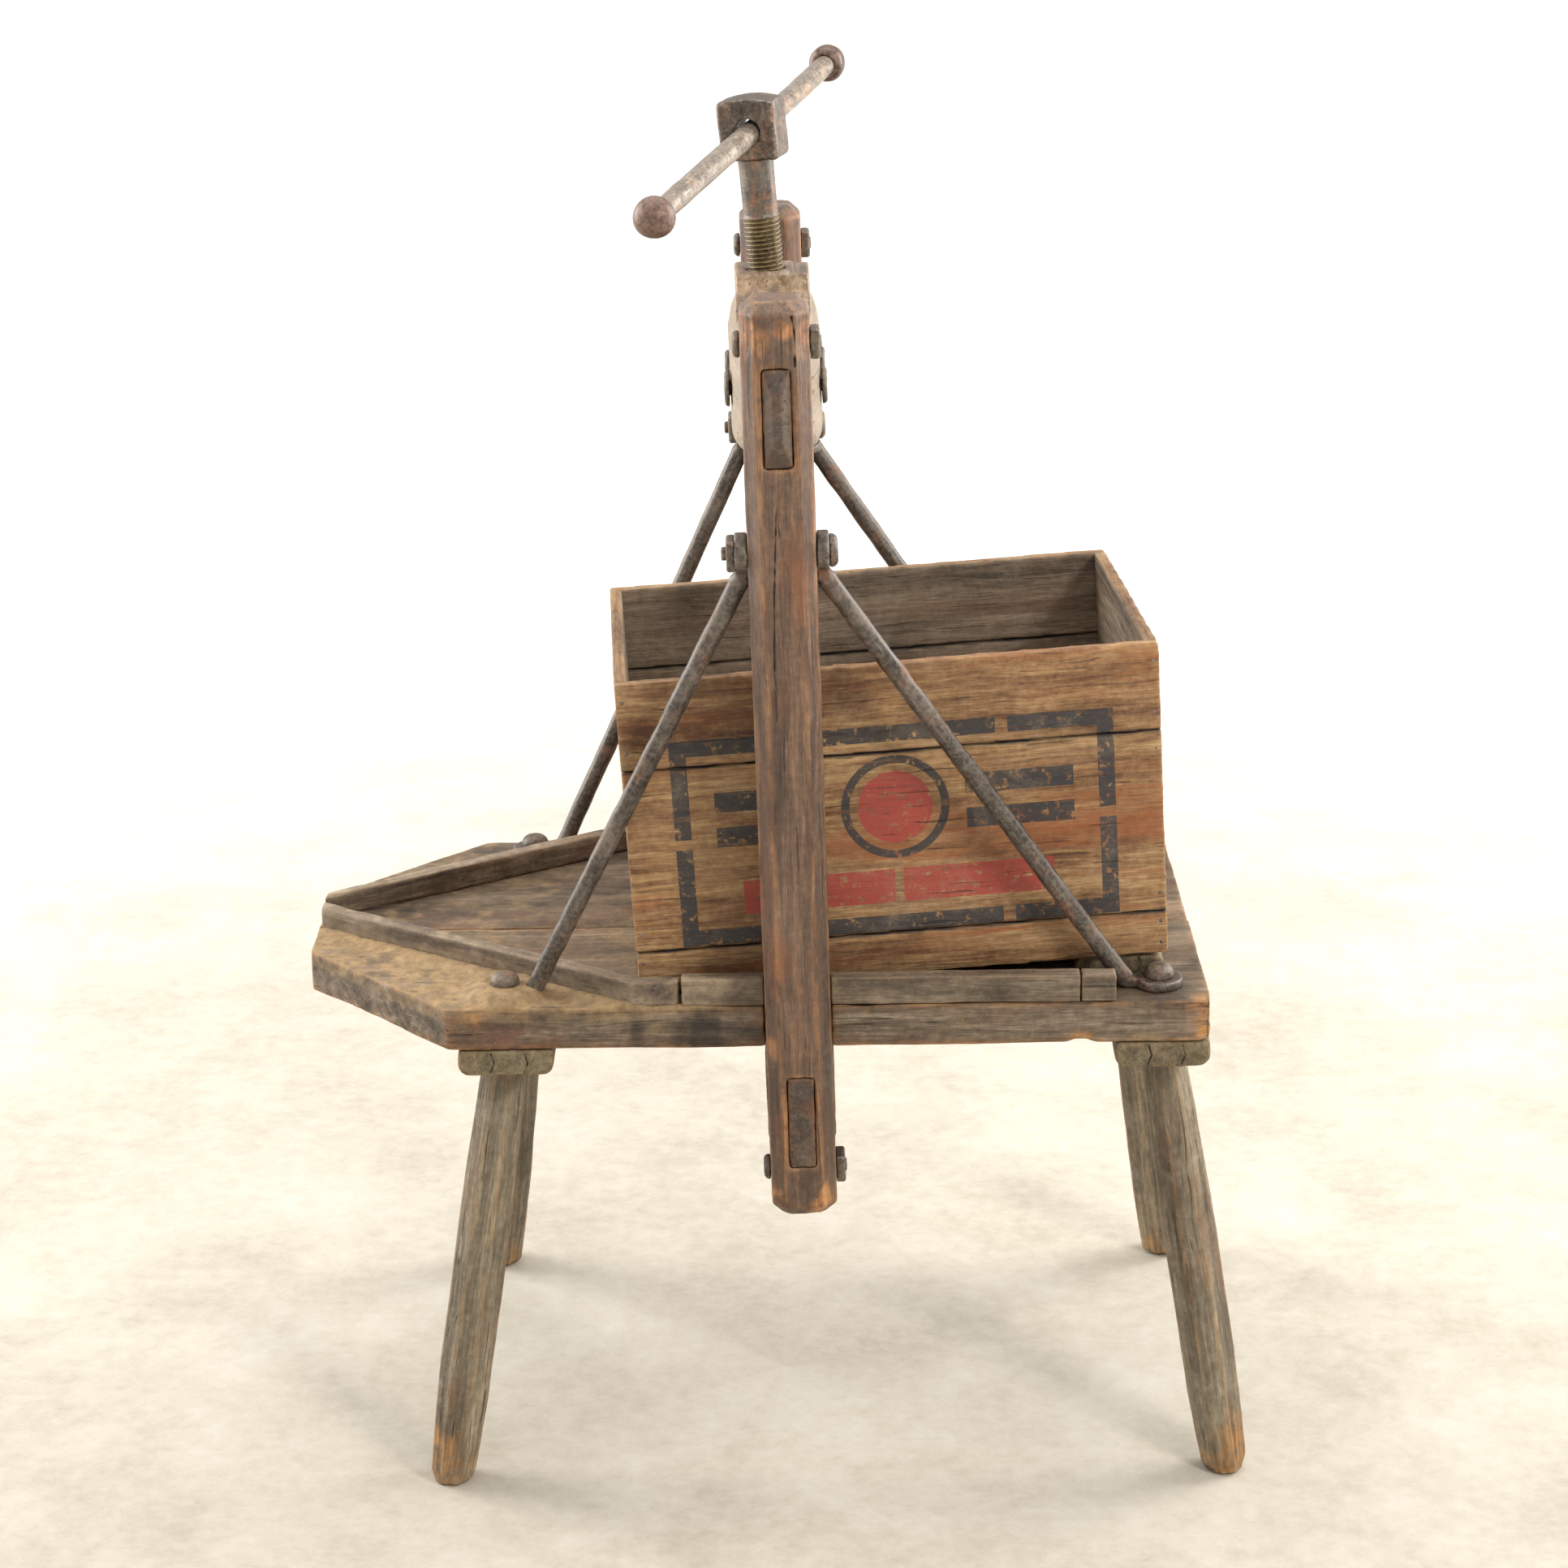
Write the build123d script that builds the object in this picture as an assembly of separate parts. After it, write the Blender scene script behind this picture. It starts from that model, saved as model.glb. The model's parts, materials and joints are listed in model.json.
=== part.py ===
from build123d import *
import math
import os

# Apple cider press: a plank bed on four splayed legs, a gallows frame of two posts and two beams, and an
# iron screw with a loose tommy bar. A board crate stands on the bed between the posts.
# Millimetres, +Z up, +X away from the spout, near side at -Y. The floor is at z = 0.

# ---- bed -------------------------------------------------------------------------------------------------
BED_TOP = 511.0
BED_THICK = 43.5
BED_HALF_DEPTH = 243.0
BED_RIGHT_X = 402.0
SPOUT_SHOULDER_X = -334.5
SPOUT_TIP_X = -480.0
SPOUT_TIP_HALF = 89.0
SPOUT_TIP_CUT = 7.0
PLANK_SEAM_Y = -24.0
PLANK_GAP = 0.6
BATTEN_WIDTH = 93.0
BATTEN_THICK = 27.0
BATTEN_ROUND = 12.0
LEFT_BATTEN_X = -279.5
RIGHT_BATTEN_X = 355.5

# ---- legs ------------------------------------------------------------------------------------------------
LEG_SOCKET_DEPTH = 52.0
LEG_TENON_RADIUS = 14.0
LEG_SECTIONS = ((0.0, 41.0), (0.12, 46.0), (0.38, 53.0), (0.72, 53.0), (0.975, 47.0), (1.0, 25.0))
LEG_TAIL = 12.0
LEG_TOP_SINK = 20.0
LEG_TOPS = {
    "near_left_leg": (-285.0, -160.0),
    "near_right_leg": (361.0, -160.0),
    "far_left_leg": (-291.0, 160.0),
    "far_right_leg": (356.0, 160.0),
}
LEG_FEET = {
    "near_left_leg": (-353.0, -241.0),
    "near_right_leg": (427.0, -237.0),
    "far_left_leg": (-344.0, 251.0),
    "far_right_leg": (413.0, 258.0),
}

# ---- rails on the bed ------------------------------------------------------------------------------------
RAIL_HEIGHT = 28.0
SIDE_RAIL_THICK = 20.0
SPOUT_RAIL_HEIGHT = 26.0
SPOUT_RAIL_THICK = 18.0
SPOUT_RAIL_TIP = (-483.0, 25.0)
SPOUT_RAIL_BEND = (-156.0, 242.0)
SPOUT_RAIL_END_X = -109.0
SPOUT_RAIL_ROUND = 8.9
RAIL_BLOCK_X = (276.0, 310.0)
RAIL_SEAM = 0.8
RAIL_BLOCK_CHAMFER = 1.5
CLEAT_X = (275.0, 363.0)
CLEAT_THICK = 20.5
CLEAT_HALF_LENGTH = 175.0
CLEAT_ROUND = 12.0

# ---- gallows frame ---------------------------------------------------------------------------------------
FRAME_RACK = -1.0
FRAME_TWIST = 0.93
POST_WIDTH = 63.5
POST_DEPTH = 66.0
POST_OUTER_Y = 295.0
POST_BOTTOM = 310.0
POST_TOP = 1201.0
POST_EDGE_CHAMFER = 13.0
POST_END_CHAMFER = 11.0
TENON_WIDTH = 26.0
TOP_TENON_Z = (1050.5, 1141.0)
TOP_TENON_PROUD = 8.0
TOP_TENON_NOSE = (8.0, 24.0)
LOW_TENON_Z = (364.0, 457.0)
LOW_BEAM_WIDTH = 67.0
LOW_BEAM_BOTTOM = 359.0
LOW_BEAM_CHAMFER = 8.0
SHOULDER_SIZE = (52.0, 98.0, 8.0)
SWELL_SIZE = (62.0, 108.0, 14.0)
BELLY_SIZE = (87.0, 144.0, 26.0)
MIDDLE_SIZE = (89.0, 148.0, 28.0)
SWELL_Y = 140.0
BELLY_Y = 46.0
BEAM_END_Z = 1096.0
SWELL_Z = 1093.0
BELLY_Z = 1079.0
BEAM_MID_Z = 1077.0
TENON_ROOT = 10.0
BOSS_TOP = 1181.0
BOSS_BASE = 1135.0
BOSS_WIDTH = 73.0
BOSS_TOP_HALF = 36.0
BOSS_FOOT_HALF = 104.0
BOSS_SCOOP = 10.0

# ---- bolts -----------------------------------------------------------------------------------------------
BOLT_RADIUS = 6.5
CHEEK_BOLT_Z = (352.0, 1159.0)
CHEEK_HEAD = (12.5, 6.5)
CHEEK_NUT = (27.0, 9.0)
BRACE_BOLT_Z = 966.0
BRACE_HEAD = (15.5, 8.0)
BRACE_NUT = (29.0, 8.0)
NUT_STUB = 4.5
CHEEK_STUB = 1.5
NUT_CHAMFER = 1.5
HEAD_ROUND_SHARE = 0.8
BEAM_BOLT_Y = 48.0
BEAM_BOLT_Z = 1074.0
BEAM_BOLT_HEAD = (18.0, 5.0)
BEAM_BOLT_SEAT = 44.5

# ---- braces ----------------------------------------------------------------------------------------------
ROD_RADIUS = 9.0
EYE_RADIUS = 19.0
EYE_THICK = 11.5
FOOT_EYE_RADIUS = 23.5
FOOT_EYE_THICK = 9.0
ROD_START_DROP = 27.0
ROD_START_OUT = 2.5
FOOT_Y = 200.0
FOOT_BOLT_X = {"left": -281.0, "right": 354.0}
ROD_FOOT_X = {"left": -250.0, "right": 320.0}
ROD_FOOT_Y = 203.0
FOOT_HEAD = (14.5, 13.0)
FOOT_NUT = (24.0, 10.0)
KNUCKLE_EXTRA = 0.6

# ---- screw, nut and shoe (heights run along the screw's own axis, from the middle of the beam) -------------
SCREW_LEAN = -4.4
SCREW_PIVOT = (-10.2, 0.0, 1090.0)
THREAD_RADIUS = 17.45
THREAD_PITCH = 25.4 / 6
THREAD_DEPTH = 2.3
CREST_SHARE = (0.42, 0.58)
THREAD_BOTTOM = -166.0
THREAD_TOP = 137.5
HEAD_BOTTOM = 196.0
HEAD_WIDTH = 57.0
HEAD_DEPTH = 44.0
HEAD_HEIGHT = 54.0
HEAD_DOME_RADIUS = 100.0
HEAD_DOME = 6.7
HEAD_CORNER = 4.0
HEAD_BOTTOM_ROUND = 5.0
HEAD_YAW = -15.3
HEAD_HOLE_RADIUS = 13.1
NUT_RADIUS = 27.0
NUT_LENGTH = 60.0
NUT_BOTTOM = -92.0
NUT_FLANGE = (38.0, 8.0)
NUT_CLEARANCE = 0.08
BORE_CLEARANCE = 1.5
PIN_RADIUS = 11.0
PIN_LENGTH = 16.0
SHOE_RADIUS = 29.0
SHOE_HEIGHT = 36.0
SHOE_NECK = (19.0, 21.0, 14.0, 26.0)
SHOE_CHAMFER = 2.0
SHOE_CLEARANCE = 0.08
SHOE_GAP = 0.4
KEEPER_RADIUS = 3.0
KEEPER_GROOVE = 3.4
KEEPER_OUT = 0.2
KEEPER_LENGTH = 36.0

# ---- tommy bar -------------------------------------------------------------------------------------------
BAR_RADIUS = 10.5
BAR_NEAR = 322.0
BAR_FAR = 286.0
BAR_TILT = 4.6
BALL_RADIUS = 18.7
BUTTON_RADIUS = 18.5
BUTTON_LENGTH = 26.0
BUTTON_ROUND = 9.0

# ---- crate -----------------------------------------------------------------------------------------------
CRATE_CORNER = (-149.0, -213.0, BED_TOP + 0.6)
CRATE_YAW = 3.7
CRATE_TILT = -2.8
CRATE_LENGTH = 516.0
CRATE_DEPTH = 350.0
CRATE_HEIGHT = 315.0
BOARD = 12.0
BOARD_GAP = 0.3
FRONT_BOARD_HEIGHTS = (44.0, 184.0, 87.0)
END_BOARD_HEIGHTS = (170.0, 145.0)
FLOOR_BOARDS = 3
NAIL_RADIUS = 2.2
NAIL_PROUD = 0.5
NAIL_LENGTH = 16.0
NAIL_INSET = 18.0

# ---- the origin is under the middle of the whole press ------------------------------------------------------
ORIGIN_SHIFT = (19.2, 12.6, 0.0)

WIDE = (-600.0, 600.0)
NEAR_FAR = {"near": -1, "far": 1}
LEFT_RIGHT = {"left": -1, "right": 1}
BATTEN_BOTTOM = BED_TOP - BED_THICK - BATTEN_THICK
BED_BOTTOM = BED_TOP - BED_THICK


def span_box(x_range, y_range, z_range):
    """A box between two corners, whichever way round the ranges are given."""
    centre = [(low + high) / 2 for low, high in (x_range, y_range, z_range)]
    size = [abs(high - low) for low, high in (x_range, y_range, z_range)]
    return Pos(*centre) * Box(*size)


def rod_between(start, end, radius):
    """A straight round rod from one point to another."""
    run = Vector(*end) - Vector(*start)
    plane = Plane(origin=start, z_dir=run)
    return plane * Cylinder(radius, run.length, align=(Align.CENTER, Align.CENTER, Align.MIN))


def domed_disc(radius, height):
    """A low round bolt head standing on z = 0, with its top edge well rounded."""
    disc = Cylinder(radius, height, align=(Align.CENTER, Align.CENTER, Align.MIN))
    return fillet(disc.edges().group_by(Axis.Z)[-1], height * HEAD_ROUND_SHARE)


def square_nut(width, height):
    """A square nut standing on z = 0, with its top corners eased."""
    nut = Pos(0, 0, height / 2) * Box(width, width, height)
    return chamfer(nut.edges().group_by(Axis.Z)[-1], NUT_CHAMFER)


frame_place = Pos(0, 0, BED_TOP) * Rot(0, FRAME_RACK, 0) * Rot(0, 0, FRAME_TWIST) * Pos(0, 0, -BED_TOP)
screw_place = Pos(*SCREW_PIVOT) * Rot(0, SCREW_LEAN, 0)
crate_place = Pos(*CRATE_CORNER) * Rot(0, 0, CRATE_YAW) * Rot(0, CRATE_TILT, 0)


def post_box(side):
    """The plain rectangular envelope of a post, which also cuts the bed's notch."""
    half = POST_WIDTH / 2
    inner = POST_OUTER_Y - POST_DEPTH
    return span_box((-half, half), (side * inner, side * POST_OUTER_Y), (POST_BOTTOM, POST_TOP))


def cross_bolt(side, height, head, seat, stub):
    """A bolt through a post along X: domed head on one end, threaded stub on the other."""
    head_end = 1 if height == BRACE_BOLT_Z else -1
    middle_y = side * (POST_OUTER_Y - POST_DEPTH / 2)
    shank_ends = [(head_end * seat, middle_y, height), (-head_end * (seat + stub), middle_y, height)]
    shank = rod_between(shank_ends[0], shank_ends[1], BOLT_RADIUS)
    cap = Pos(head_end * seat, middle_y, height) * Rot(0, 90 * head_end, 0) * domed_disc(*head)
    return shank + cap


def cross_nut(side, height, nut, seat):
    nut_end = -1 if height == BRACE_BOLT_Z else 1
    middle_y = side * (POST_OUTER_Y - POST_DEPTH / 2)
    blank = square_nut(*nut) - Cylinder(BOLT_RADIUS, 4 * nut[1])
    return Pos(nut_end * seat, middle_y, height) * Rot(0, 90 * nut_end, 0) * blank


def post(name):
    side = NEAR_FAR[name]
    body = post_box(side)
    body = chamfer(body.edges().filter_by(Axis.Z), POST_EDGE_CHAMFER)
    body = chamfer(body.faces().sort_by(Axis.Z)[-1].edges(), POST_END_CHAMFER)
    body = chamfer(body.faces().sort_by(Axis.Z)[0].edges(), POST_END_CHAMFER)
    for tenon_z in (TOP_TENON_Z, LOW_TENON_Z):
        half = TENON_WIDTH / 2
        body -= span_box((-half, half), (0, side * WIDE[1]), tenon_z)
    for height in (*CHEEK_BOLT_Z, BRACE_BOLT_Z):
        middle_y = side * (POST_OUTER_Y - POST_DEPTH / 2)
        body -= rod_between((-POST_WIDTH, middle_y, height), (POST_WIDTH, middle_y, height), BOLT_RADIUS)
    return body


def beam_section(y, size, centre_z):
    width, height, corner = size
    plane = Plane(origin=(0, y, centre_z), x_dir=(1, 0, 0), z_dir=(0, 1, 0))
    return plane * RectangleRounded(width, height, corner)


def tenon_nose(side):
    """The pyramid end of the top tenon, standing proud of the post."""
    nose_width, nose_height = TOP_TENON_NOSE
    middle_z = sum(TOP_TENON_Z) / 2
    tall = TOP_TENON_Z[1] - TOP_TENON_Z[0]
    base = Plane(origin=(0, side * POST_OUTER_Y, middle_z), x_dir=(1, 0, 0), z_dir=(0, side, 0))
    tip = base.offset(TOP_TENON_PROUD)
    return loft([base * Rectangle(TENON_WIDTH, tall), tip * Rectangle(nose_width, tall - nose_height * 2)])


def screw_boss():
    """The raised seat round the screw: flat on top, scooped down to the beam at both ends."""
    scoop_y = (BOSS_TOP_HALF + BOSS_FOOT_HALF) / 2 - BOSS_SCOOP / 2
    scoop_z = (BOSS_TOP + BOSS_BASE) / 2 - BOSS_SCOOP / 2
    right = ((BOSS_TOP_HALF, BOSS_TOP), (scoop_y, scoop_z), (BOSS_FOOT_HALF, BOSS_BASE))
    left = [(-y, z) for y, z in right]
    edges = [
        Line(left[0], right[0]),
        ThreePointArc(*right),
        Line(right[2], left[2]),
        ThreePointArc(*reversed(left)),
    ]
    face = make_face(Plane.YZ * Curve(edges))
    return extrude(face, BOSS_WIDTH / 2, both=True)


def top_beam():
    sections = []
    inner = POST_OUTER_Y - POST_DEPTH
    stations = (
        (inner, SHOULDER_SIZE, BEAM_END_Z),
        (SWELL_Y, SWELL_SIZE, SWELL_Z),
        (BELLY_Y, BELLY_SIZE, BELLY_Z),
    )
    for y, size, centre_z in stations:
        sections.append(beam_section(-y, size, centre_z))
    sections.append(beam_section(0, MIDDLE_SIZE, BEAM_MID_Z))
    for y, size, centre_z in reversed(stations):
        sections.append(beam_section(y, size, centre_z))
    body = loft(sections) + screw_boss()
    for side in NEAR_FAR.values():
        half = TENON_WIDTH / 2
        body += span_box((-half, half), (side * (inner - TENON_ROOT), side * POST_OUTER_Y), TOP_TENON_Z)
        body += tenon_nose(side)
        bolt_y = side * BEAM_BOLT_Y
        body -= across_beam(bolt_y, POST_WIDTH)
    return body


def across_beam(bolt_y, reach):
    """A bolt-sized rod through the beam along X."""
    return rod_between((-reach, bolt_y, BEAM_BOLT_Z), (reach, bolt_y, BEAM_BOLT_Z), BOLT_RADIUS)


def beam_bolt(side):
    """One bolt across the beam beside the screw, with a broad low head."""
    bolt_y = side * BEAM_BOLT_Y
    shank = across_beam(bolt_y, BEAM_BOLT_SEAT)
    head = Pos(-BEAM_BOLT_SEAT, bolt_y, BEAM_BOLT_Z) * Rot(0, -90, 0) * domed_disc(*BEAM_BOLT_HEAD)
    return shank + head


def beam_rivet_cap(side):
    """The riveted-over cap on the other end of the beam bolt."""
    bolt_y = side * BEAM_BOLT_Y
    return Pos(BEAM_BOLT_SEAT, bolt_y, BEAM_BOLT_Z) * Rot(0, 90, 0) * domed_disc(*BEAM_BOLT_HEAD)


def lower_beam():
    half = LOW_BEAM_WIDTH / 2
    inner = POST_OUTER_Y - POST_DEPTH
    body = span_box((-half, half), (-inner, inner), (LOW_BEAM_BOTTOM, BED_BOTTOM))
    body = chamfer(body.edges().filter_by(Axis.Y).group_by(Axis.Z)[0], LOW_BEAM_CHAMFER)
    tenon_half = TENON_WIDTH / 2
    return body + span_box((-tenon_half, tenon_half), (-POST_OUTER_Y, POST_OUTER_Y), LOW_TENON_Z)


def bed_outline(near_edge, far_edge):
    """The bed's plan between two long edges, tapering to the spout tip at the left."""
    diagonal = (SPOUT_SHOULDER_X, BED_HALF_DEPTH), (SPOUT_TIP_X, SPOUT_TIP_HALF)
    outline = Polyline(
        (BED_RIGHT_X, -BED_HALF_DEPTH),
        (BED_RIGHT_X, BED_HALF_DEPTH),
        diagonal[0],
        diagonal[1],
        (SPOUT_TIP_X - SPOUT_TIP_CUT, SPOUT_TIP_HALF - SPOUT_TIP_CUT),
        (SPOUT_TIP_X - SPOUT_TIP_CUT, -SPOUT_TIP_HALF + SPOUT_TIP_CUT),
        (diagonal[1][0], -diagonal[1][1]),
        (diagonal[0][0], -diagonal[0][1]),
        close=True,
    )
    slab = extrude(Plane.XY.offset(BED_BOTTOM) * make_face(outline), BED_THICK)
    return slab & span_box(WIDE, (near_edge, far_edge), (BED_BOTTOM, BED_TOP))


def leg_axis(name):
    """Top of the leg at the batten's underside, and its foot on the floor."""
    return Vector(*LEG_TOPS[name], BATTEN_BOTTOM), Vector(*LEG_FEET[name], 0)


def leg_socket(name):
    top, foot = leg_axis(name)
    direction = (top - foot).normalized()
    low = top - direction * LEG_TOP_SINK
    high = top + direction * LEG_SOCKET_DEPTH
    return rod_between(tuple(low), tuple(high), LEG_TENON_RADIUS)


def leg(name):
    top, foot = leg_axis(name)
    run = foot - top
    direction = run.normalized()
    sections = []
    for share, across in LEG_SECTIONS:
        centre = top + run * share + direction * (0 if share < 1 else LEG_TAIL)
        plane = Plane(origin=centre, z_dir=direction)
        octagon = RegularPolygon(across / 2 / math.cos(math.pi / 8), 8)
        sections.append(plane * Rot(0, 0, 22.5) * octagon)
    shaft = loft(sections, ruled=True)
    shaft &= span_box(WIDE, WIDE, (0, BATTEN_BOTTOM))
    return shaft + leg_socket(name)


def bed_cutters():
    cutters = [frame_place * post_box(side) for side in NEAR_FAR.values()]
    cutters += [leg_socket(name) for name in LEG_TOPS]
    for x in FOOT_BOLT_X.values():
        for side in NEAR_FAR.values():
            cutters.append(rod_between((x, side * FOOT_Y, 0), (x, side * FOOT_Y, BEAM_MID_Z), BOLT_RADIUS))
    return cutters


def batten(centre_x):
    x_range = (centre_x - BATTEN_WIDTH / 2, centre_x + BATTEN_WIDTH / 2)
    bar = span_box(x_range, (-BED_HALF_DEPTH, BED_HALF_DEPTH), (BATTEN_BOTTOM, BED_BOTTOM))
    return fillet(bar.edges().filter_by(Axis.Y).group_by(Axis.Z)[0], BATTEN_ROUND)


def spout_rail(side):
    """A rail that runs in from the bed's edge to the spout tip, and ends rounded against the side rail."""
    (tip_x, tip_y), (bend_x, edge_y) = SPOUT_RAIL_TIP, SPOUT_RAIL_BEND
    slope = (edge_y - tip_y) / (bend_x - tip_x)
    inner_shift = SPOUT_RAIL_THICK * math.hypot(1, slope)
    inner_y = edge_y - SPOUT_RAIL_THICK
    inner_bend_x = tip_x + (inner_y - tip_y + inner_shift) / slope
    corners = (
        (tip_x, tip_y),
        (bend_x, edge_y),
        (SPOUT_RAIL_END_X, edge_y),
        (SPOUT_RAIL_END_X, inner_y),
        (inner_bend_x, inner_y),
        (tip_x, tip_y - inner_shift),
    )
    plan = make_face(Polyline(*[(x, side * y) for x, y in corners], close=True))
    rail = extrude(Plane.XY.offset(BED_TOP) * plan, SPOUT_RAIL_HEIGHT)
    return fillet(rail.edges().filter_by(Axis.Z).group_by(Axis.X)[-1], SPOUT_RAIL_ROUND)


def side_rail(side):
    inner_y = side * (BED_HALF_DEPTH - SIDE_RAIL_THICK)
    x_range = (SPOUT_RAIL_END_X + RAIL_SEAM, RAIL_BLOCK_X[0] - RAIL_SEAM)
    rail = span_box(x_range, (inner_y, side * BED_HALF_DEPTH), (BED_TOP, BED_TOP + RAIL_HEIGHT))
    return rail - frame_place * post_box(side)


def rail_block(side):
    inner_y = side * (BED_HALF_DEPTH - SIDE_RAIL_THICK)
    block = span_box(RAIL_BLOCK_X, (inner_y, side * BED_HALF_DEPTH), (BED_TOP, BED_TOP + RAIL_HEIGHT))
    return chamfer(block.edges().group_by(Axis.Z)[-1], RAIL_BLOCK_CHAMFER)


def cleat():
    """The cross piece with a rounded top that the crate's right end stands on."""
    ends = (-CLEAT_HALF_LENGTH, CLEAT_HALF_LENGTH)
    bar = span_box(CLEAT_X, ends, (BED_TOP, BED_TOP + CLEAT_THICK))
    return fillet(bar.edges().filter_by(Axis.Y).group_by(Axis.Z)[-1], CLEAT_ROUND)


def brace(side_name, end_name):
    """A round iron rod with a flat eye at each end, from the post's cheek down to the bed."""
    side, end = NEAR_FAR[side_name], LEFT_RIGHT[end_name]
    eye_y = side * (POST_OUTER_Y - POST_DEPTH / 2)
    eye_x = end * (POST_WIDTH / 2 + EYE_THICK / 2)
    eye = Pos(eye_x, eye_y, BRACE_BOLT_Z) * Rot(0, 90, 0) * Cylinder(EYE_RADIUS, EYE_THICK)
    neck = span_box(
        (eye_x - EYE_THICK / 2, eye_x + EYE_THICK / 2),
        (eye_y - ROD_RADIUS, eye_y + ROD_RADIUS),
        (BRACE_BOLT_Z - ROD_START_DROP, BRACE_BOLT_Z),
    )
    eye_hole = Pos(eye_x, eye_y, BRACE_BOLT_Z) * Rot(0, 90, 0) * Cylinder(BOLT_RADIUS, 3 * EYE_THICK)
    placed_eye = frame_place * (eye + neck - eye_hole)
    start = (frame_place * Pos(eye_x + end * ROD_START_OUT, eye_y, BRACE_BOLT_Z - ROD_START_DROP)).position
    rod_foot = Vector(ROD_FOOT_X[end_name], side * ROD_FOOT_Y, BED_TOP + ROD_RADIUS)
    rod = rod_between(tuple(start), tuple(rod_foot), ROD_RADIUS)
    knuckle = Sphere(ROD_RADIUS + KNUCKLE_EXTRA)
    foot_x = FOOT_BOLT_X[end_name]
    foot_z = (BED_TOP, BED_TOP + FOOT_EYE_THICK)
    foot = Pos(foot_x, side * FOOT_Y, sum(foot_z) / 2) * Cylinder(FOOT_EYE_RADIUS, FOOT_EYE_THICK)
    tongue_y = (side * FOOT_Y - ROD_RADIUS, side * FOOT_Y + ROD_RADIUS)
    foot += span_box((foot_x, ROD_FOOT_X[end_name]), tongue_y, foot_z)
    foot_hole = Pos(foot_x, side * FOOT_Y, BED_TOP) * Cylinder(BOLT_RADIUS, 4 * FOOT_EYE_THICK)
    rod_and_foot = rod + Pos(*rod_foot) * knuckle + foot - foot_hole
    rod_and_foot &= span_box(WIDE, WIDE, (BED_TOP, POST_TOP))
    upper_knuckle = Pos(*start) * knuckle - frame_place * post_box(side)
    return rod_and_foot + upper_knuckle + placed_eye


def foot_bolt(side, x):
    """A bolt down through a brace's foot eye and the bed."""
    eye_top = BED_TOP + FOOT_EYE_THICK
    tip_z = BATTEN_BOTTOM - FOOT_NUT[1] - NUT_STUB
    shank = rod_between((x, side * FOOT_Y, tip_z), (x, side * FOOT_Y, eye_top), BOLT_RADIUS)
    return shank + Pos(x, side * FOOT_Y, eye_top) * domed_disc(*FOOT_HEAD)


def foot_nut(side, x):
    blank = square_nut(*FOOT_NUT) - Cylinder(BOLT_RADIUS, 4 * FOOT_NUT[1])
    return Pos(x, side * FOOT_Y, BATTEN_BOTTOM) * Rot(180, 0, 0) * blank


def along_screw(low, high, radius):
    """A cylinder on the screw's axis, between two heights measured along it."""
    return Pos(0, 0, low) * Cylinder(radius, high - low, align=(Align.CENTER, Align.CENTER, Align.MIN))


def nut_outline():
    flange_radius, flange_thick = NUT_FLANGE
    flange = along_screw(NUT_BOTTOM, NUT_BOTTOM + flange_thick, flange_radius)
    return flange + along_screw(NUT_BOTTOM + flange_thick, NUT_BOTTOM + NUT_LENGTH, NUT_RADIUS)


def screw_nut():
    bore = along_screw(THREAD_BOTTOM, THREAD_TOP, THREAD_RADIUS + NUT_CLEARANCE)
    return nut_outline() - bore


def press_screw():
    """The thread as a stack of V grooves at the thread's own pitch, a plain neck, and the swivel pin."""
    turns = int((THREAD_TOP - THREAD_BOTTOM) / THREAD_PITCH)
    root = THREAD_RADIUS - THREAD_DEPTH
    outline = [(0, THREAD_BOTTOM), (root, THREAD_BOTTOM)]
    for turn in range(turns):
        base = THREAD_BOTTOM + turn * THREAD_PITCH
        outline.append((THREAD_RADIUS, base + CREST_SHARE[0] * THREAD_PITCH))
        outline.append((THREAD_RADIUS, base + CREST_SHARE[1] * THREAD_PITCH))
        outline.append((root, base + THREAD_PITCH))
    outline.append((THREAD_RADIUS, THREAD_TOP))
    outline.append((THREAD_RADIUS, HEAD_BOTTOM))
    outline.append((0, HEAD_BOTTOM))
    thread = revolve(make_face(Plane.XZ * Polyline(*outline, close=True)), Axis.Z)
    pin = along_screw(THREAD_BOTTOM - PIN_LENGTH, THREAD_BOTTOM, PIN_RADIUS)
    low = THREAD_BOTTOM - PIN_LENGTH / 2 - KEEPER_GROOVE
    high = THREAD_BOTTOM - PIN_LENGTH / 2 + KEEPER_GROOVE
    groove = along_screw(low, high, 2 * PIN_RADIUS) - along_screw(low, high, PIN_RADIUS - KEEPER_RADIUS)
    return thread + (pin - groove)


def screw_head():
    """The square head block, domed on top, with the hole that the tommy bar slides in."""
    tall = HEAD_HEIGHT + HEAD_DOME
    block = Pos(0, 0, HEAD_BOTTOM + tall / 2) * Box(HEAD_WIDTH, HEAD_DEPTH, tall)
    block = fillet(block.edges().filter_by(Axis.Z), HEAD_CORNER)
    block = fillet(block.faces().sort_by(Axis.Z)[0].edges(), HEAD_BOTTOM_ROUND)
    block &= Pos(0, 0, HEAD_BOTTOM + tall - HEAD_DOME_RADIUS) * Sphere(HEAD_DOME_RADIUS)
    hole_z = HEAD_BOTTOM + HEAD_HEIGHT / 2
    hole = rod_between((0, -HEAD_DEPTH, hole_z), (0, HEAD_DEPTH, hole_z), HEAD_HOLE_RADIUS)
    return Rot(0, 0, HEAD_YAW) * (block - hole)


def keeper_place():
    return Pos(0, PIN_RADIUS + KEEPER_OUT, THREAD_BOTTOM - PIN_LENGTH / 2) * Rot(0, 90, 0)


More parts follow.
